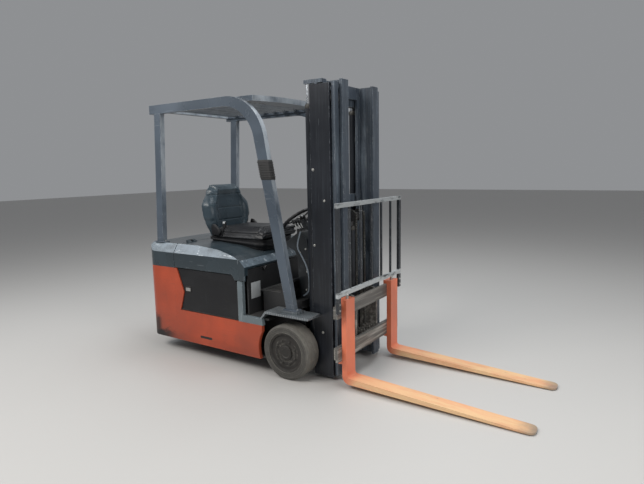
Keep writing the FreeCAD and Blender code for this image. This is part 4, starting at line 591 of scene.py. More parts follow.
tower_black = finish("tower_black", (0.014, 0.017, 0.020), 0.36, bare=(0.20, 0.22, 0.24), edge=0.7,
                     scratch=0.2, dust=0.12, grain=0.25, gloss=0.4, over=hand_rub)
dress(tower_black, "cowl", edge=0.008)
dress(tower_black, "steering_column", edge=0.004)
# The strips' pale grey is painted highlight along the cowl's rounded front edges.
edge_highlight_grey = finish("edge_highlight_grey", (0.26, 0.31, 0.36), 0.30, bare=(0.55, 0.58, 0.60), edge=0.8,
                   scratch=0.4, dust=0.2, coat=0.3)
strips = bmesh.new()
for name, side in SIDES:
    tube(strips, [(x, side * (COWL_HALF - 0.001), z) for x, z in EDGE_STRIP], 0.0065)
finished(strips, "cowl_edge_strips", edge_highlight_grey, "chassis")
screws = bmesh.new()
for name, side in SIDES:
    for x, z in SCREW_SPOTS:
        spun(screws, [(0.0070, -0.0005), (0.0070, 0.0016), (0.0055, 0.0026), (0.0030, 0.0026),
                      (0.0028, 0.0010)], facing((x, side * COWL_HALF, z), (0, side, 0)), 18)
finished(screws, "cowl_screws", zinc, "chassis")


def on_dash(along, across, rise=0.0):
    """A place on the dash: along it upwards, across it, and out from it."""
    side = Vector((0, 1, 0))
    turn = Matrix((DASH_UP, side, DASH_OUT)).transposed().to_4x4()
    return Matrix.Translation(DASH_LOW + DASH_UP * along + side * across + DASH_OUT * rise) @ turn


pod_place, key_place = on_dash(POD_ALONG, POD_ACROSS), on_dash(KEY_ALONG, KEY_ACROSS)
pod = bmesh.new()
block(pod, (-0.050, -0.062, -0.004), (0.055, 0.062, 0.024), 0.009, pod_place, 3)
block(pod, (0.030, -0.060, 0.018), (0.055, 0.060, 0.036), 0.007, pod_place, 3)
finished(pod, "instrument_pod", knob_black, "chassis")
glass = finish("display_glass", (0.020, 0.030, 0.026), 0.10, edge=0.0, scratch=0.1, dust=0.25, coat=0.8)
screen = bmesh.new()
block(screen, (-0.036, -0.046, 0.0232), (0.022, 0.026, 0.0252), 0.001, pod_place)
finished(screen, "display_screen", glass, "chassis")
buttons = bmesh.new()
for along in (-0.026, -0.006, 0.014):
    spun(buttons, [(0.0065, 0.0225), (0.0065, 0.0258), (0.0050, 0.0270), (0.002, 0.0274)],
         on_dash(POD_ALONG + along, POD_ACROSS + BUTTONS_ACROSS), 20)
finished(buttons, "display_buttons", pale, "chassis")
lock = bmesh.new()
spun(lock, [(0.016, -0.001), (0.016, 0.003), (0.013, 0.006), (0.0105, 0.006), (0.0100, 0.012),
            (0.004, 0.012)], key_place, 28)
block(lock, (-0.0012, -0.010, 0.010), (0.0012, 0.010, 0.034), 0.0008, key_place)
bow_place = on_dash(KEY_ALONG, KEY_ACROSS, 0.038) @ Matrix.Rotation(math.pi / 2, 4, "Y")
spun(lock, [(0.012, -0.0015), (0.012, 0.0015)], bow_place, 24)
finished(lock, "key_switch", zinc, "chassis")


# Hand wheel. A soft black ring with finger swells, moulded over three dished spokes. Its hub sits on the
# steering column and carries a domed horn button.
GRIP_R, GRIP_POINTS, SWELL, FINGERS, SPOKE_TURNS, SPOKE_DISH = 0.0128, 16, 0.07, 20, (90, 210, 330), -6
turning = next(row for row in frame["record"]["behaviour"]["joints"] if row["name"] == "hand_wheel_turn")
wheel_axis, wheel_spot = Vector(turning["axis"]).normalized(), Vector(turning["pos_m"])
ring_r = high("steering_wheel").y - 0.014
wheel_rise = (middle("steering_wheel") - wheel_spot).dot(wheel_axis)
wheel_place = facing(wheel_spot + wheel_axis * wheel_rise, wheel_axis)
seat_black = finish("seat_black", (0.0085, 0.0088, 0.0105), 0.46, bare=(0.05, 0.05, 0.05), edge=0.2,
                    scratch=0.05, dust=0.08, grain=0.2, gloss=0.35)
ring = bmesh.new()
turns = [math.tau * k / GRIP_POINTS for k in range(GRIP_POINTS)]
section = [(ring_r + GRIP_R * math.cos(turn), GRIP_R * math.sin(turn)) for turn in turns]
spun(ring, section, steps=120, hollow=True)
for vert in ring.verts:
    core = Vector((vert.co.x, vert.co.y, 0)).normalized() * ring_r
    turn = math.atan2(vert.co.y, vert.co.x)
    vert.co = core + (vert.co - core) * (1 + SWELL * math.cos(FINGERS * turn))
bmesh.ops.transform(ring, matrix=wheel_place, verts=ring.verts)
finished(ring, "hand_ring", seat_black, "hand_wheel", replaces=("steering_wheel",))
hub = bmesh.new()
spoke = [(0.026, -0.019), (0.075, -0.011), (ring_r - 0.003, -0.014), (ring_r - 0.003, 0.014),
         (0.075, 0.011), (0.026, 0.019)]
for angle in SPOKE_TURNS:
    arm = wheel_place @ Matrix.Rotation(math.radians(angle), 4, "Z")
    arm = arm @ Matrix.Rotation(math.radians(SPOKE_DISH), 4, "Y")
    plate(hub, spoke, -0.0185, -0.0085, arm, 0.0042, 3)
spun(hub, [(0.034, -0.028), (0.040, -0.020), (0.041, 0.000), (0.037, 0.008), (0.028, 0.011),
           (0.026, 0.009), (0.018, 0.0115), (0.008, 0.0125)], wheel_place)
finished(hub, "hand_hub", knob_black, "hand_wheel")


# Hydraulic levers. Plated steel stems with moulded ball grips, in a row beside the column. Each rises
# through a rubber gaiter that keeps dirt out of its slot.
LEVER_ROWS, LEVER_X = (-0.215, -0.180, -0.145), high("levers").x - 0.013
stems = bmesh.new()
balls = bmesh.new()
gaiters = bmesh.new()
for y in LEVER_ROWS:
    foot = facing((LEVER_X, y, low("levers").z + 0.004), wheel_axis)
    spun(stems, [(0.0045, 0.0), (0.0045, 0.080), (0.004, 0.084)], foot, 16)
    spun(balls, [(0.006, 0.074), (0.0125, 0.080), (0.0135, 0.092), (0.0125, 0.104), (0.008, 0.1085),
                 (0.003, 0.1095)], foot, 24)
    spun(gaiters, [(0.020, -0.001), (0.019, 0.005), (0.014, 0.008), (0.0155, 0.012), (0.011, 0.016),
                   (0.0125, 0.020), (0.008, 0.025), (0.0055, 0.030)], foot, 24)
finished(stems, "lever_stems", zinc, "chassis", replaces=("levers",))
finished(balls, "lever_knobs", knob_black, "chassis")
finished(gaiters, "lever_gaiters", seat_black, "chassis")


# Seat cushion. Black vinyl over foam with a lower middle panel between firm side rolls, sewn and piped, its
# nose rolled down in front. The foam swells as cloth under pressure, and the seams are pulled in after.
PANEL_HALF, NOSE_SEAM, SEAM_DEEP, SEAM_WIDE, PAD_IN, BORDER_RISE = 0.150, 0.085, 0.0045, 0.0045, 0.008, 0.046


def vinyl(name, base, rough, sheen_tone, wear):
    """Grained seat vinyl with soft creases, rubbed paler where the driver slides over it."""
    def rubbed(g, color, blur, height):
        rub = g.remap(g.noise(5.5, 5, 0.6), 0.48, 0.72)
        pores = g.node("ShaderNodeTexVoronoi", {"Vector": g.coords(), "Scale": 420}).outputs["Distance"]
        crease = g.noise(15, 3, 0.6, (1, 1, 0.5), 1.2)
        height = g.math("ADD", g.times(pores, 0.35), g.times(crease, 1.4))
        color = g.mix(g.times(rub, wear), color, sheen_tone)
        return color, g.math("SUBTRACT", blur, g.times(rub, 0.08)), height
    return finish(name, base, rough, bare=sheen_tone, edge=0.15, scratch=0.0, dust=0.07, grime=0.0,
                  coat=0.05, coat_rough=0.3, grain=0.4, grain_deep=0.0016, gloss=0.36, over=rubbed)


def ease(value, start, end):
    share = min(1.0, max(0.0, (value - start) / (end - start)))
    return share * share * (3 - 2 * share)


def pillow(depth, border):
    """How far a padded form has risen at a distance from its border: a quarter round, then full."""
    share = min(1.0, max(0.0, depth / border))
    return math.sqrt(1 - (1 - share) ** 2)


def pad_form(name, columns, rows, point):
    """A thick grid, each point placed by point(u, v, face): u from -1 to 1, v from 0 to 1, face 0 or 1."""
    bm = bmesh.new()
    bmesh.ops.create_grid(bm, x_segments=columns, y_segments=rows, size=1)
    back = bm.verts[:]
    made = bmesh.ops.extrude_face_region(bm, geom=bm.faces[:], use_keep_orig=True)["geom"]
    front = [item for item in made if isinstance(item, bmesh.types.BMVert)]
    for face, sheet in ((0, back), (1, front)):
        for vert in sheet:
            vert.co = point(vert.co.x, (vert.co.y + 1) / 2, face)
    bmesh.ops.recalc_face_normals(bm, faces=bm.faces)
    mesh = bpy.data.meshes.new(name)
    bm.to_mesh(mesh)
    bm.free()
    return mesh


def inflate(item, voxel, pressure, cap, held):
    """Remeshes a padded piece and swells it as cloth under pressure, no point moving further than cap."""
    remesh = item.modifiers.new("remesh", "REMESH")
    remesh.mode = "VOXEL"
    remesh.voxel_size = voxel
    mesh = bpy.data.meshes.new_from_object(item.evaluated_get(bpy.context.evaluated_depsgraph_get()))
    item.modifiers.clear()
    item.data = mesh
    start = [vert.co.copy() for vert in mesh.vertices]
    pinned = item.vertex_groups.new(name="held")
    pinned.add([vert.index for vert in mesh.vertices if held(vert.co)], 1.0, "REPLACE")
    cloth = item.modifiers.new("cloth", "CLOTH")
    cloth.settings.vertex_group_mass = "held"
    cloth.settings.use_pressure = True
    cloth.settings.uniform_pressure_force = pressure
    cloth.settings.effector_weights.gravity = 0
    cloth.point_cache.frame_end = 20
    for number in range(1, 21):
        bpy.context.scene.frame_set(number)
    swollen = item.evaluated_get(bpy.context.evaluated_depsgraph_get()).to_mesh()
    for vert, first, last in zip(mesh.vertices, start, swollen.vertices):
        move = last.co - first
        vert.co = first + move * min(1.0, cap / max(move.length, 1e-9))
    item.modifiers.clear()
    bpy.context.scene.frame_set(1)
    finer = item.modifiers.new("finer", "SUBSURF")
    finer.levels = finer.render_levels = 1
    item.data = bpy.data.meshes.new_from_object(item.evaluated_get(bpy.context.evaluated_depsgraph_get()))
    item.modifiers.clear()
    for face in item.data.polygons:
        face.use_smooth = True


def sew(item, distance):
    """Pulls a seam in: each point sinks by its distance from the seam's line."""
    mesh = item.data
    normals = [vert.normal.copy() for vert in mesh.vertices]
    for vert, normal in zip(mesh.vertices, normals):
        gap = distance(vert.co)
        if gap is not None and gap < 3 * SEAM_WIDE:
            vert.co -= normal * SEAM_DEEP * math.exp(-(gap / SEAM_WIDE) ** 2)
    mesh.update()


seat_low, seat_high = low("seat_cushion"), high("seat_cushion")
seat_half, seat_long, seat_base = seat_high.y, seat_high.x - seat_low.x, seat_low.z + 0.002


def cushion_point(u, v, face):
    x = seat_low.x + 0.004 + v * (seat_long - 0.004 - PAD_IN)
    y = u * (seat_half - PAD_IN) * (1 - 0.07 * ease(v, 0.72, 1.0) - 0.03 * ease(v, 0.2, 0.0))
    if not face:
        return Vector((x, y, seat_base + 0.022 * ease(v, 0.9, 1.0)))
    edge = min((1 - abs(u)) * seat_half, v * seat_long + 0.04, (1 - v) * seat_long)
    roll = ease(abs(y), PANEL_HALF - 0.03, PANEL_HALF + 0.035)
    roll = roll * ease(abs(y), seat_half + 0.02, seat_half - 0.05)
    crown = seat_high.z - 0.008 + 0.004 * roll - 0.008 * ease(v, 0.9, 0.35) - 0.018 * ease(v, 0.80, 1.0)
    return Vector((x, y, seat_base + (crown - seat_base) * (0.34 + 0.66 * pillow(edge, 0.085))))


def panel_seam(spot):
    on_top = spot.z > seat_base + 0.045 and spot.x < seat_high.x - NOSE_SEAM
    return abs(abs(spot.y) - PANEL_HALF) if on_top else None


def nose_seam(spot):
    return abs(spot.x - (seat_high.x - NOSE_SEAM)) if spot.z > seat_base + 0.045 else None


def border_seam(spot):
    around = abs(spot.y) > seat_half - 0.035 or spot.x > seat_high.x - 0.045
    return abs(spot.z - (seat_base + BORDER_RISE)) if around else None


seat_vinyl = vinyl("seat_vinyl", (0.0085, 0.0092, 0.0115), 0.42, (0.050, 0.056, 0.064), 0.20)
cushion = pad_form("seat_pad", 40, 44, cushion_point)
cushion = settled(cushion, "seat_pad", seat_vinyl, "hood_lid", 180, ("seat_cushion",))
inflate(cushion, voxel=0.0065, pressure=4.0, cap=0.010, held=lambda spot: spot.z < seat_base + 0.012)
for seam in (panel_seam, nose_seam, border_seam):
    sew(cushion, seam)


def piping(name, pad, path, closed=False):
    """A sewn welt laid on a pad's surface along a path."""
    route = []
    for point in path:
        spot, normal = pad.closest_point_on_mesh(point)[1:3]
        route.append(spot + normal * 0.0009)
    welt = bmesh.new()
    tube(welt, route, 0.0030, smooth=True, closed=closed, sides=2)
    return finished(welt, name, seat_black, "hood_lid")


def round_path(half_x, half_y, corner, step=0.014):
    """Points round a rectangle with round corners, about its own middle."""
    points = []
    count = max(3, int(corner * math.pi / 2 / step))
    for turn, x_sign, y_sign in ((0, 1, 1), (1, -1, 1), (2, -1, -1), (3, 1, -1)):
        x, y = x_sign * (half_x - corner), y_sign * (half_y - corner)
        for k in range(count + 1):
            angle = math.pi / 2 * (turn + k / count)
            points.append((x + corner * math.cos(angle), y + corner * math.sin(angle)))
    return points


seat_mid = middle("seat_cushion")
welt_path = round_path(seat_long / 2 - 0.006, seat_half - 0.010, 0.06)
welt_path = [(seat_mid.x + x, y, seat_base + BORDER_RISE) for x, y in welt_path]
piping("seat_welt", cushion, welt_path, closed=True)


# Seat back. Slate vinyl sewn over foam, with raised side wings, a plain head roll and two channels across its
# middle. It is held in a moulded shell.
BACK_FACE, WING_SEAM, LUMBAR_RISES = high("seat_backrest").x, 0.60, (0.13, 0.235)
back_foot, back_head = low("seat_backrest").z + 0.006, high("seat_backrest").z - 0.006
BACK_WIDTHS = ((back_foot, 0.208), (1.085, 0.250), (1.130, 0.262), (1.215, 0.262), (1.335, 0.196),
               (back_head, 0.150))


def back_half(z):
    for (z0, w0), (z1, w1) in zip(BACK_WIDTHS, BACK_WIDTHS[1:]):
        if z <= z1:
            return w0 + (w1 - w0) * ease(z, z0, z1)
    return BACK_WIDTHS[-1][1]


def back_planes(z):
    """Rear and front of the foam at a height, following the solid's lean."""
    rear = BACK_FACE - 0.0625 - 0.060 * ease(z, back_foot - 0.1, back_head - 0.04)
    face = BACK_FACE - 0.008 - 0.036 * ease(z, back_foot + 0.14, back_head)
    return rear, face


def back_point(u, v, face):
    z = back_foot + v * (back_head - back_foot)
    rear, front = back_planes(z)
    if not face:
        return Vector((rear + 0.004, u * back_half(z), z))
    tall = back_head - back_foot
    edge = min((1 - abs(u)) * back_half(z), v * tall + 0.01, (1 - v) * tall + 0.004)
    recess = 0.028 * (1 - ease(abs(u), 0.46, 0.76)) * ease(v, 0.0, 0.15) * ease(v, 1.0, 0.72)
    rise = 0.28 + 0.72 * pillow(edge, 0.048)
    return Vector((rear + 0.004 + (front - recess - rear - 0.004) * rise, u * back_half(z), z))


HEAD_SEAM = back_foot + 0.80 * (back_head - back_foot)


def on_front(spot):
    rear, front = back_planes(spot.z)
    return spot.x > rear + 0.25 * (front - rear)


def wing_seam(spot):
    below = on_front(spot) and spot.z < HEAD_SEAM
    return abs(abs(spot.y) - WING_SEAM * back_half(spot.z)) if below else None


def head_seam(spot):
    return abs(spot.z - HEAD_SEAM) if on_front(spot) else None


def lumbar_seams(spot):
    across = on_front(spot) and abs(spot.y) < 0.58 * back_half(spot.z)
    return min(abs(spot.z - back_foot - rise) for rise in LUMBAR_RISES) if across else None


back_vinyl = vinyl("back_vinyl", (0.036, 0.056, 0.072), 0.30, (0.115, 0.155, 0.185), 0.30)
backrest = pad_form("back_pad", 44, 44, back_point)
backrest = settled(backrest, "back_pad", back_vinyl, "hood_lid", 180, ("seat_backrest",))
inflate(backrest, voxel=0.0065, pressure=3.5, cap=0.009,
        held=lambda spot: spot.x < back_planes(spot.z)[0] + 0.008)
for seam in (wing_seam, head_seam, lumbar_seams):
    sew(backrest, seam)


# Seat base. A black vinyl skirt swells out over the suspension and tucks in on the hood under two soft
# folds. A moulded shell, with a stiff bar across its foot, carries the back's foam.
SKIRT_X, SKIRT_TOP, SKIRT_LEVELS, SKIRT_BULGE = (-1.150, -0.532), 0.9600, 14, 0.024
FOLDS, FOLD_DEEP = 2, 0.0022
HOOD_LINE = ((-1.3, 0.925), (-0.988, 0.925), (-0.748, 0.908), (-0.578, 0.874), (-0.45, 0.855))
SHELL_FOOT, SHELL_TOP = 0.962, 1.330


def hood_height(x):
    for (x0, z0), (x1, z1) in zip(HOOD_LINE, HOOD_LINE[1:]):
        if x <= x1:
            return z0 + (z1 - z0) * (x - x0) / (x1 - x0)
    return HOOD_LINE[-1][1]


skirt = bmesh.new()
mid_x, half_x = sum(SKIRT_X) / 2, (SKIRT_X[1] - SKIRT_X[0]) / 2
outlines = []
for level in range(SKIRT_LEVELS + 1):
    share = level / SKIRT_LEVELS
    bulge = SKIRT_BULGE * math.sin(math.pi * min(share + 0.12, 1.0) * 0.62)
    swell = bulge + FOLD_DEEP * math.cos(math.tau * FOLDS * share)
    outlines.append([skirt.verts.new((mid_x + x, y, share))
                     for x, y in round_path(half_x - 0.028 + swell, 0.202 + swell, 0.08, 0.01)])
loops = []
for row in outlines:
    loops.append([skirt.edges.new((a, b)) for a, b in zip(row, row[1:] + row[:1])])
for a, b in zip(loops, loops[1:]):
    bmesh.ops.bridge_loops(skirt, edges=a + b)
skirt.faces.new(outlines[0][::-1])
skirt.faces.new(outlines[-1])
for vert in skirt.verts:
    floor = hood_height(vert.co.x) + 0.0008
    vert.co.z = floor + (SKIRT_TOP - floor) * vert.co.z
finished(skirt, "seat_skirt", seat_black, "hood_lid", 60, ("seat_frame",))


def shell_point(u, v, face):
    z = SHELL_FOOT + v * (SHELL_TOP - SHELL_FOOT)
    rear, front = back_planes(z)
    half = 0.188 + 0.030 * ease(z, 0.98, 1.10) - 0.070 * ease(z, 1.20, 1.33)
    bow = 0.016 * (1 - u * u) * (0.4 + 0.6 * ease(v, 0.0, 0.2))
    return Vector((rear - 0.001 - (bow + 0.003) * (1 - face), u * half, z))


shell_bm = bmesh.new()
shell_bm.from_mesh(pad_form("shell", 18, 20, shell_point))
block(shell_bm, (-1.130, -0.150, 0.960), (-1.060, 0.150, 0.985), 0.006)
finished(shell_bm, "seat_shell", tower_black, "hood_lid", 50)


# Hip guards, belt buckle and its stalk. Soft moulded horns fill the corners between cushion and back, and the
# buckle stands on its stalk beside the cushion, with a pale press button.
HORN = ((0.000, 0.000), (0.085, 0.000), (0.098, 0.026), (0.078, 0.060), (0.042, 0.092), (0.010, 0.098),
        (-0.006, 0.055))
guards = bmesh.new()
for name, side in SIDES:
    corner = Matrix.Translation((seat_low.x - 0.010, side * (seat_half + 0.004), seat_base + 0.018))
    plate(guards, HORN, -0.010, 0.010, corner @ UPRIGHT, 0.0085, 3)
finished(guards, "hip_guards", seat_black, "hood_lid", 60)
buckle = bmesh.new()
stalk_top = Vector((seat_low.x + 0.150, -(seat_half + 0.022), seat_high.z - 0.004))
stalk_bends = ((-0.045, 0.006, -0.085), (-0.022, 0.002, -0.045), (0, 0, 0))
tube(buckle, [stalk_top + Vector(bend) for bend in stalk_bends], 0.0055)
block(buckle, stalk_top + Vector((-0.014, -0.008, -0.006)), stalk_top + Vector((0.018, 0.008, 0.044)), 0.004)
finished(buckle, "belt_buckle", seat_black, "hood_lid")
tongue = bmesh.new()
block(tongue, stalk_top + Vector((-0.010, -0.0086, 0.030)),
      stalk_top + Vector((0.014, 0.0086, 0.0455)), 0.002)
finished(tongue, "buckle_button", pale, "hood_lid")


# Overhead guard. Bent rectangular tube and slats in slate enamel, bolted down through flanges, its corners
# rubbed bright and its forward faces lit by a painted highlight, stronger higher up. A ribbed rubber grip
# sits round the leg where the driver steps up.
def front_highlight_paint(g, color, blur, height):
    # Painted highlight: forward-facing faces are lightened to pale slate in patches, more so higher up.
    front_highlight_mask = g.times(g.remap(g.facing()[0], 0.45, 0.85),
                     g.remap(g.noise(8, 5, 0.6, (1, 1, 0.4)), 0.25, 0.60),
                     g.remap(g.axes()[2], 1.0, 1.75, 0.30, 0.75))
    return g.mix(front_highlight_mask, color, (0.42, 0.46, 0.50)), blur, height


guard_slate = finish("guard_slate", (0.066, 0.086, 0.112), 0.30, bare=(0.42, 0.46, 0.50), edge=0.95,
                     scratch=0.25, dust=0.15, grime=0.15, coat=0.15, over=front_highlight_paint)
dress(guard_slate, "guard_legs", "guard_pillars", "guard_roof", edge=0.005)
GUARD_Y, FLANGE_HALF, FLANGE_THICK, BOLT_REACH = 0.450, 0.035, 0.009, 0.046
FEET = ((-0.075, low("guard_legs").z, 0.058), (-1.446, low("guard_pillars").z, 0.056))
flanges = bmesh.new()
flange_bolts = bmesh.new()
for name, side in SIDES:
    y = side * GUARD_Y
    for x, z, long in FEET:
        block(flanges, (x - long, y - FLANGE_HALF, z - 0.0004),
              (x + long, y + FLANGE_HALF, z + FLANGE_THICK), 0.003)
        for reach in (-BOLT_REACH, BOLT_REACH):
            hex_bolt(flange_bolts, (x + reach, y, z + FLANGE_THICK), (0, 0, 1), 0.0078)
finished(flanges, "guard_flanges", guard_slate, "chassis")
finished(flange_bolts, "guard_bolts", zinc, "chassis")
GRIP_LOW_Z, GRIP_HIGH_Z, GRIP_SKIN, AXLE_X = 1.445, 1.587, 0.004, -0.108
RIBS, RIB_PITCH, RIB_TALL = 7, 0.017, 0.007


def leg_edges(z):
    """Front and rear of the sloping leg at a height."""
    rise = z - low("guard_legs").z
    return AXLE_X + 0.068 - rise * 0.285 / 1.543, AXLE_X - 0.002 - rise * 0.302 / 1.473


grip = bmesh.new()
(front_low, rear_low), (front_high, rear_high) = leg_edges(GRIP_LOW_Z), leg_edges(GRIP_HIGH_Z)
outline = [(rear_low - GRIP_SKIN, GRIP_LOW_Z), (front_low + GRIP_SKIN, GRIP_LOW_Z),
           (front_high + GRIP_SKIN, GRIP_HIGH_Z), (rear_high - GRIP_SKIN, GRIP_HIGH_Z)]
plate(grip, outline, GUARD_Y - 0.027, GUARD_Y + 0.027, UPRIGHT, 0.006, 3)
for k in range(RIBS):
    z0 = GRIP_LOW_Z + 0.018 + k * RIB_PITCH
    front, rear = leg_edges(z0)
    rib = [(rear - 0.0055, z0), (front + 0.0055, z0), (front + 0.0035, z0 + RIB_TALL),
           (rear - 0.0075, z0 + RIB_TALL)]
    plate(grip, rib, GUARD_Y - 0.0286, GUARD_Y + 0.0286, UPRIGHT, 0.0015)
finished(grip, "leg_grip", rubber_black, "chassis")


# Drive wheels. Solid rubber tyres, dusty grey-brown from the yard, pressed on dark steel rims whose dished
# face carries eight nuts round a hub cap. Moulding ridges run round each sidewall.
def scuffed_tread(g, color, blur, height):
    x, y, z = g.axes()
    scuff = g.remap(g.noise(26, 6, 0.72, (1, 2.6, 1)), 0.45, 0.62)
    color = g.mix(g.times(scuff, 0.35), color, (0.245, 0.235, 0.205))
    sideways = g.math("ABSOLUTE", g.facing()[1])
    color = g.mix(g.times(g.remap(sideways, 0.55, 0.92), 0.72), color, (0.036, 0.034, 0.032))
    chip = g.remap(g.noise(48, 3, 0.6), 0.66, 0.72)
    color = g.mix(g.times(chip, 0.5), color, (0.055, 0.050, 0.045))
    rough = g.math("ADD", scuff, g.times(chip, -2.0))
    return color, blur, g.math("ADD", g.times(height, 0.6), g.times(rough, 1.6))


NUTS, NUT_CIRCLE = 8, 0.0865
tyre = finish("tyre", (0.120, 0.115, 0.102), 0.74, bare=(0.23, 0.22, 0.19), edge=0.7, scratch=0.2,
              grime=0.1, grain=0.8, over=scuffed_tread)
dress(tyre, "front_tyre_left", "front_tyre_right", "steer_tyres", edge=0.006)
rim_dark = finish("rim_dark", (0.027, 0.025, 0.023), 0.55, bare=(0.18, 0.17, 0.15), edge=0.5,
                  scratch=0.1, dust=0.25, grime=0.2, metal=0.1, gloss=0.4)
dress(rim_dark, "front_rim_left", "front_rim_right", "steer_rims")
nut_steel = finish("nut_steel", (0.045, 0.043, 0.039), 0.55, bare=(0.16, 0.155, 0.145), edge=0.4,
                   dust=0.25, metal=0.3)
for name, side in SIDES:
    rim, tread = "front_rim_" + name, "front_tyre_" + name
    outer, tyre_face = (max(abs(low(node).y), abs(high(node).y)) for node in (rim, tread))
    rim_r, tyre_r = ((high(node).z - low(node).z) / 2 for node in (rim, tread))
    place = facing((middle(tread).x, side * outer, middle(tread).z), (0, side, 0))
    disc = bmesh.new()
    spun(disc, [(rim_r - 0.002, -0.012), (rim_r - 0.002, 0.001), (rim_r - 0.006, 0.002),
                (rim_r - 0.011, -0.002), (rim_r - 0.016, -0.0125), (rim_r - 0.030, -0.0135),
                (0.098, -0.0128), (0.092, -0.0095), (0.082, -0.0085), (0.074, -0.0120), (0.060, -0.0125)],
         place, 96)
    spun(disc, [(0.052, -0.0136), (0.052, -0.004), (0.048, -0.001), (0.036, -0.0005), (0.033, -0.003),
                (0.012, -0.0035)], place, 64)
    finished(disc, "wheel_face_" + name, rim_dark, "front_wheel_" + name)
    nuts = bmesh.new()
    for number in range(NUTS):
        angle = math.tau * (number + 0.5) / NUTS
        spot = place @ Vector((NUT_CIRCLE * math.cos(angle), NUT_CIRCLE * math.sin(angle), -0.0087))
        hex_bolt(nuts, spot, (0, side, 0), 0.0105)
        spun(nuts, [(0.0045, 0.006), (0.0045, 0.0115), (0.0035, 0.0125)], facing(spot, (0, side, 0)), 12)
    finished(nuts, "wheel_nuts_" + name, nut_steel, "front_wheel_" + name)
    place = facing((middle(tread).x, side * tyre_face, middle(tread).z), (0, side, 0))
    ridges = bmesh.new()
    for radius, rise, wide in ((rim_r + 0.004, 0.0024, 0.004), (rim_r + 0.016, 0.0012, 0.0015),
                               (tyre_r - 0.022, 0.0014, 0.0022)):
        spun(ridges, [(radius - wide, -0.001), (radius - wide * 0.5, rise), (radius + wide * 0.5, rise),
                      (radius + wide, -0.001)], place, 128, True)
    finished(ridges, "tyre_ridges_" + name, tyre, "front_wheel_" + name)


# Steered wheels. The same dusty rubber on two small pressed discs that turn side by side under the weight,
# with six bolts round each cap.
CAP_BOLTS, CAP_CIRCLE = 6, 0.043
steer_r, steer_face = (high("steer_rims").z - low("steer_rims").z) / 2, high("steer_rims").y
caps = bmesh.new()
cap_bolts = bmesh.new()
for name, side in SIDES:
    place = facing((middle("steer_tyres").x, side * steer_face, middle("steer_tyres").z), (0, side, 0))
    spun(caps, [(steer_r - 0.001, -0.002), (steer_r - 0.002, 0.004), (steer_r - 0.007, 0.005),
                (steer_r - 0.013, 0.001), (0.062, 0.0015), (0.056, 0.006), (0.030, 0.007), (0.027, 0.004)],
         place, 72)
    for number in range(CAP_BOLTS):
        angle = math.tau * number / CAP_BOLTS
        spot = Vector((CAP_CIRCLE * math.cos(angle), CAP_CIRCLE * math.sin(angle), 0.006))
        hex_bolt(cap_bolts, place @ spot, (0, side, 0), 0.0075)
finished(caps, "steer_wheel_faces", rim_dark, "steer_wheels")
finished(cap_bolts, "steer_wheel_nuts", nut_steel, "steer_wheels")


# Mast. Rolled channels nested in three stages. The outer pair is painted near black, and the sliding pairs
# are dark slate with bright upright tracks where rollers and pads rub the paint through.
def upright_tracks(depth):
    def over(g, color, blur, height):
        lines = g.remap(g.noise(46, 4, 0.6, (1, 1, 0.035)), 0.46, 0.72)
        broken = g.remap(g.noise(6, 5, 0.6, (1, 1, 0.5)), 0.30, 0.62)
        color = g.mix(g.times(lines, broken, depth), color, (0.185, 0.225, 0.265))
        fine = g.remap(g.noise(120, 3, 0.6, (1, 1, 0.02)), 0.60, 0.70)
        color = g.mix(g.times(fine, broken, depth * 0.7), color, (0.30, 0.33, 0.35))
        return color, g.math("SUBTRACT", blur, g.times(lines, depth * 0.12)), height
    return over


RAIL_BOLTS = ((0.061, 1.510, 0.010), (0.150, 1.296, 0.009), (0.120, 0.350, 0.010), (0.061, 0.980, 0.009))
PIVOT_X, PIVOT_Z = 0.007, 0.215
outer_black = finish("mast_black", (0.0095, 0.0115, 0.0165), 0.32, bare=(0.34, 0.38, 0.42), edge=0.8,
                     scratch=0.12, dust=0.06, grime=0.05, coat=0.1, gloss=0.35, over=upright_tracks(0.08))
dress(outer_black, "outer_mast", edge=0.0025)
mast_slate = finish("mast_slate", (0.054, 0.068, 0.088), 0.32, bare=(0.46, 0.50, 0.53), edge=1.0,
                    dust=0.1, grime=0.15, metal=0.15, over=upright_tracks(0.75))
dress(mast_slate, "middle_mast", "inner_mast", edge=0.0025)
dress(outer_black, "lift_barrels", "free_lift_barrel", edge=0.0015)
chrome = finish("chrome_rod", (0.62, 0.63, 0.64), 0.12, edge=0.0, dust=0.1, metal=1.0, grain=0.0)
dress(chrome, "lift_rods", "tilt_rod_left", "tilt_rod_right", edge=0.0008)
rail_bolts = bmesh.new()
for name, side in SIDES:
    for x, z, size in RAIL_BOLTS:
        hex_bolt(rail_bolts, (x, side * high("outer_mast").y, z), (0, side, 0), size)
finished(rail_bolts, "rail_bolts", zinc, "mast_outer")
pivot_caps = bmesh.new()
for name, side in SIDES:
    spun(pivot_caps, [(0.030, -0.001), (0.030, 0.003), (0.026, 0.006), (0.012, 0.007)],
         facing((PIVOT_X, side * high("mast_pivots").y, PIVOT_Z), (0, side, 0)), 32)
finished(pivot_caps, "pivot_caps", steel_dark, "mast_outer")


# Lift cylinders. Steel barrels in mast paint, one behind each outer rail and one in the middle of the inner
# stage. A turned gland nut with its wiper ring is screwed on top of each.
BARREL_X, BARREL_Y, CENTRE_X = 0.010, 0.300, 0.154
glands = bmesh.new()
for name, side in SIDES:
    top = Matrix.Translation((BARREL_X, side * BARREL_Y, high("lift_barrels").z - 0.030))
    spun(glands, [(0.0315, 0.0), (0.0325, 0.002), (0.0325, 0.024), (0.0305, 0.028), (0.0235, 0.0305),
                  (0.0225, 0.034)], top, 36)
finished(glands, "lift_glands", nut_steel, "mast_outer")
gland = bmesh.new()
spun(gland, [(0.0355, 0.0), (0.0375, 0.002), (0.0375, 0.026), (0.0350, 0.030), (0.0240, 0.032)],
     Matrix.Translation((CENTRE_X, 0, high("free_lift_barrel").z - 0.028)), 40)
finished(gland, "centre_gland", nut_steel, "mast_inner")


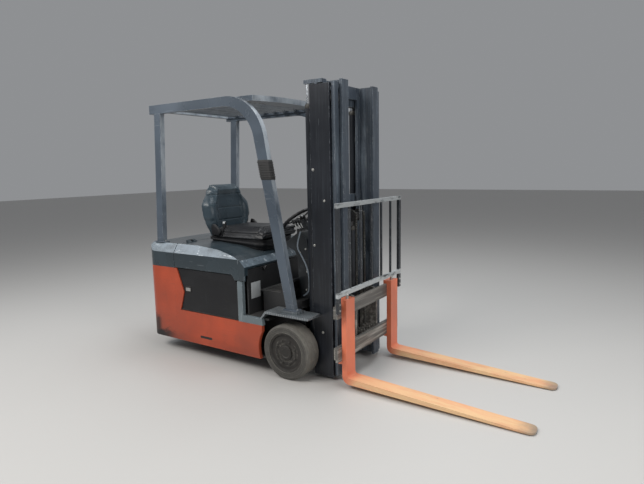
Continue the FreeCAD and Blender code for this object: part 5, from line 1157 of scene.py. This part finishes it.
# Lift chains. Two leaf chains of stacked steel plates on pins, each over its sheave, with a clevis at the
# end of its front run. Oil and dust keep them dark with rubbed plate edges.
LINK, LINK_THICK, LINK_GAP, LEAVES, PIN_R, PIN_LONG = 0.0190, 0.0030, 0.0009, 6, 0.0026, 0.0246
SHEAVE, RUN_R, FRONT_END, REAR_END = Vector((0.192, 0.060, 1.165)), 0.044, 0.336, 0.426
WAIST = ((0.0, -0.0058), (0.0042, -0.0042), (0.0046, 0.0), (0.0042, 0.0042), (0.0, 0.0058))
CLEVIS_LOW, CLEVIS_HIGH = Vector((-0.0058, -0.0122, -0.0057)), Vector((0.0058, 0.0122, 0.016))
chain_steel = finish("chain_steel", (0.085, 0.085, 0.080), 0.38, bare=(0.40, 0.39, 0.36), edge=0.9,
                     metal=0.8)
chain_body = body_of(NODES["lift_chains"])[0]
front_run, over_top, rear_run = SHEAVE.z - FRONT_END, math.pi * RUN_R, SHEAVE.z - REAR_END


def along_chain(run):
    """Place and heading of the chain's middle at a length along it from its front end."""
    if run < front_run:
        return SHEAVE.x + RUN_R, FRONT_END + run, 0.0
    if run < front_run + over_top:
        turn = (run - front_run) / RUN_R
        return SHEAVE.x + RUN_R * math.cos(turn), SHEAVE.z + RUN_R * math.sin(turn), turn
    return SHEAVE.x - RUN_R, SHEAVE.z - (run - front_run - over_top), math.pi


links = bmesh.new()
pins = bmesh.new()
clevises = bmesh.new()
count = int((front_run + over_top + rear_run) / LINK)
outline = [(x, y - LINK / 2) for x, y in WAIST if y <= 0] + [(x, y + LINK / 2) for x, y in WAIST if y >= 0]
outline = outline + [(-x, y) for x, y in outline[::-1] if x]
for name, side in SIDES:
    for k in range(count):
        x, z, turn = along_chain((k + 0.5) * LINK)
        link = Matrix.Translation((x, side * SHEAVE.y, z)) @ Matrix.Rotation(-turn, 4, "Y") @ UPRIGHT
        for leaf in range(LEAVES):
            if (leaf + k) % 2 == 0:
                mid = (leaf - (LEAVES - 1) / 2) * (LINK_THICK + LINK_GAP)
                plate(links, outline, mid - LINK_THICK / 2, mid + LINK_THICK / 2, link)
        x, z, turn = along_chain(k * LINK)
        pin = Matrix.Translation((x, side * SHEAVE.y, z)) @ UPRIGHT
        bmesh.ops.create_cone(pins, cap_ends=True, segments=8, radius1=PIN_R, radius2=PIN_R,
                              depth=PIN_LONG, matrix=pin)
    end = Vector((SHEAVE.x + RUN_R, side * SHEAVE.y, FRONT_END))
    block(clevises, end + CLEVIS_LOW, end + CLEVIS_HIGH, 0.0015)
finished(clevises, "chain_clevises", nut_steel, chain_body)
finished(links, "chain_leaves", chain_steel, chain_body, 30, ("lift_chains",))
finished(pins, "chain_pins", nut_steel, chain_body, 30)
dress(chain_steel, "lift_chains")


# Fork carriage and load rest. Two worn hook bars with the side plates in dusty bare steel, and a black
# welded rest bolted on, whose rails are rubbed pale by loads.
def load_rubs(g, color, blur, height):
    x, y, z = g.axes()
    lower = g.times(g.remap(z, 0.697, 0.692), g.remap(z, 0.653, 0.658))
    band = g.math("MAXIMUM", lower, g.times(g.remap(z, 1.255, 1.262), 0.75))
    rub = g.times(band, g.remap(g.noise(18, 5, 0.65, (1, 0.4, 2)), 0.30, 0.50))
    color = g.mix(g.times(rub, 0.85), color, (0.46, 0.49, 0.50))
    return color, blur, height


def long_rubs(g, color, blur, height):
    x, y, z = g.axes()
    lines = g.remap(g.noise(34, 4, 0.6, (1, 0.05, 1)), 0.45, 0.66)
    share = g.times(lines, g.remap(z, 0.55, 0.32, 0.35, 0.75))
    return g.mix(share, color, (0.46, 0.44, 0.40)), g.math("SUBTRACT", blur, g.times(lines, 0.08)), height


REST_BOLT_X, REST_BOLT_Y, REST_BOLT_RISES = 0.340, 0.472, (0.570, 0.612)
bar_steel = finish("bar_steel", (0.125, 0.120, 0.112), 0.45, bare=(0.50, 0.48, 0.44), edge=1.0,
                   scratch=0.5, dust=0.35, grime=0.2, metal=0.3, over=long_rubs)
dress(bar_steel, "carriage", edge=0.003)
rest_black = finish("rest_black", (0.022, 0.026, 0.032), 0.34, bare=(0.42, 0.45, 0.47), edge=1.0,
                    scratch=0.4, grime=0.1, over=load_rubs)
dress(rest_black, "load_backrest", edge=0.0025)
rest_bolts = bmesh.new()
for name, side in SIDES:
    for z in REST_BOLT_RISES:
        hex_bolt(rest_bolts, (REST_BOLT_X, side * REST_BOLT_Y, z), (1, 0, 0), 0.0085)
finished(rest_bolts, "rest_bolts", zinc, "carriage_body")


# Forks. Forged hook arms in old orange enamel, each held on the carriage by a sprung latch pin. Their blades
# are scoured pale by pallets and their toes to bare metal.
def blade_wear(g, color, blur, height):
    x, y, z = g.axes()
    blade = g.times(g.remap(z, 0.130, 0.045), g.remap(x, 0.33, 0.45))
    pale_rub = g.remap(g.noise(9, 6, 0.65, (0.35, 1.6, 1)), 0.32, 0.62)
    color = g.mix(g.times(blade, g.math("ADD", g.times(pale_rub, 0.45), 0.5)), color, (0.76, 0.51, 0.275))
    toe = g.remap(g.math("ADD", x, g.times(g.noise(22, 4, 0.6), 0.10)), 1.50, 1.64)
    scours = g.remap(g.noise(30, 4, 0.7, (0.25, 1.4, 1)), 0.66, 0.72)
    bare = g.math("MAXIMUM", g.times(toe, 0.8), g.times(blade, scours, 0.8))
    return g.mix(bare, color, (0.20, 0.17, 0.14)), blur, height


fork_orange = finish("fork_orange", (0.70, 0.180, 0.090), 0.40, bare=(0.28, 0.20, 0.15), edge=0.8,
                     scratch=0.4, dust=0.25, grime=0.1, coat=0.15, over=blade_wear)
dress(fork_orange, "fork_left", "fork_right", edge=0.003)
for name, side in SIDES:
    fork = "fork_" + name
    top = Vector((high("carriage").x + 0.012, middle(fork).y, high(fork).z - 0.001))
    handle = bmesh.new()
    spun(handle, [(0.012, 0.0), (0.012, 0.005), (0.0085, 0.008), (0.0085, 0.020), (0.0135, 0.022),
                  (0.0135, 0.033), (0.010, 0.036)], Matrix.Translation(top), 24)
    finished(handle, "fork_latch_" + name, zinc, fork + "_body")


# Tilt cylinders. A barrel each side in mast paint, pinned to the frame behind, its chromed rod pinned to the
# mast in front. A turned gland is screwed on the barrel's front end.
TILT_AXIS, TILT_FOOT, TILT_LONG = Vector((0.9228, 0, 0.3853)), Vector((-0.438, 0.24, 0.29)), 0.300
dress(outer_black, "tilt_barrel_left", "tilt_barrel_right")
for name, side in SIDES:
    collar = bmesh.new()
    foot = Vector((TILT_FOOT.x, side * TILT_FOOT.y, TILT_FOOT.z))
    spun(collar, [(0.0318, -0.022), (0.0330, -0.020), (0.0330, -0.002), (0.0300, 0.002), (0.0190, 0.003),
                  (0.0180, 0.006)], facing(foot + TILT_AXIS * TILT_LONG, TILT_AXIS), 36)
    finished(collar, "tilt_gland_" + name, nut_steel, "tilt_cylinder_" + name)


# Camera. It stands at the photographer's place, at eye height in front of the near side. Its lens and its
# turn were found from the vehicle's own corners.
EYE = Vector((2.0776, -3.2910, 1.5143))
YAW, NOD, ROLL, FOCAL_PX, PHOTO_WIDE_PX, SENSOR = 123.567, -8.156, -1.096, 509.15, 644, 36
lens = bpy.data.cameras.new("camera")
lens.sensor_width = SENSOR
lens.lens = FOCAL_PX / PHOTO_WIDE_PX * SENSOR
camera = bpy.data.objects.new("camera", lens)
turned = Matrix.Rotation(math.radians(YAW - 90), 4, "Z") @ Matrix.Rotation(math.radians(90 + NOD), 4, "X")
camera.matrix_world = Matrix.Translation(EYE) @ turned @ Matrix.Rotation(math.radians(ROLL), 4, "Z")
bpy.context.scene.collection.objects.link(camera)
bpy.context.scene.camera = camera


# Studio. A plain pale floor, four soft area lamps and an even grey sky, at a level that shows colours as
# written. The floor is staging and no piece of the truck.
FLOOR_TONE, SKY_TONE, SKY_LEVEL = (0.50, 0.49, 0.475, 1), (0.80, 0.82, 0.85, 1), 0.34


def lamp(name, place, aim, size, power, color):
    data = bpy.data.lights.new(name, "AREA")
    data.shape = "RECTANGLE"
    data.size, data.size_y = size
    data.energy = power
    data.color = color
    item = bpy.data.objects.new(name, data)
    item.location = place
    item.rotation_euler = (Vector(aim) - Vector(place)).to_track_quat("-Z", "Y").to_euler()
    bpy.context.scene.collection.objects.link(item)


bpy.ops.mesh.primitive_plane_add(size=60, location=(0, 0, 0))
floor = bpy.context.object
floor.name = "floor"
floor_grey = bpy.data.materials.new("floor_grey")
floor_grey.use_nodes = True
floor_shader = floor_grey.node_tree.nodes["Principled BSDF"]
floor_shader.inputs["Base Color"].default_value = FLOOR_TONE
floor_shader.inputs["Roughness"].default_value = 0.55
floor.data.materials.append(floor_grey)
sky = bpy.data.worlds.new("studio")
bpy.context.scene.world = sky
sky.use_nodes = True
sky_shader = sky.node_tree.nodes["Background"]
sky_shader.inputs["Color"].default_value = SKY_TONE
sky_shader.inputs["Strength"].default_value = SKY_LEVEL
lamp("key", (-1.5, -4.5, 5.0), (0, 0, 0.7), (3.5, 2.0), 250, (1, 0.97, 0.93))
lamp("top", (0.5, 1.0, 5.5), (-0.2, 0, 0.8), (4.5, 2.5), 200, (0.93, 0.97, 1))
lamp("front", (5.0, -1.5, 2.8), (0, 0, 0.8), (2.5, 2.0), 100, (1, 0.98, 0.95))
lamp("rear", (-3.8, -2.2, 3.4), (-1.0, 0, 0.9), (2.0, 1.5), 30, (0.92, 0.96, 1))
bpy.context.scene.view_settings.view_transform = "Standard"
bpy.context.scene.view_settings.look = "None"
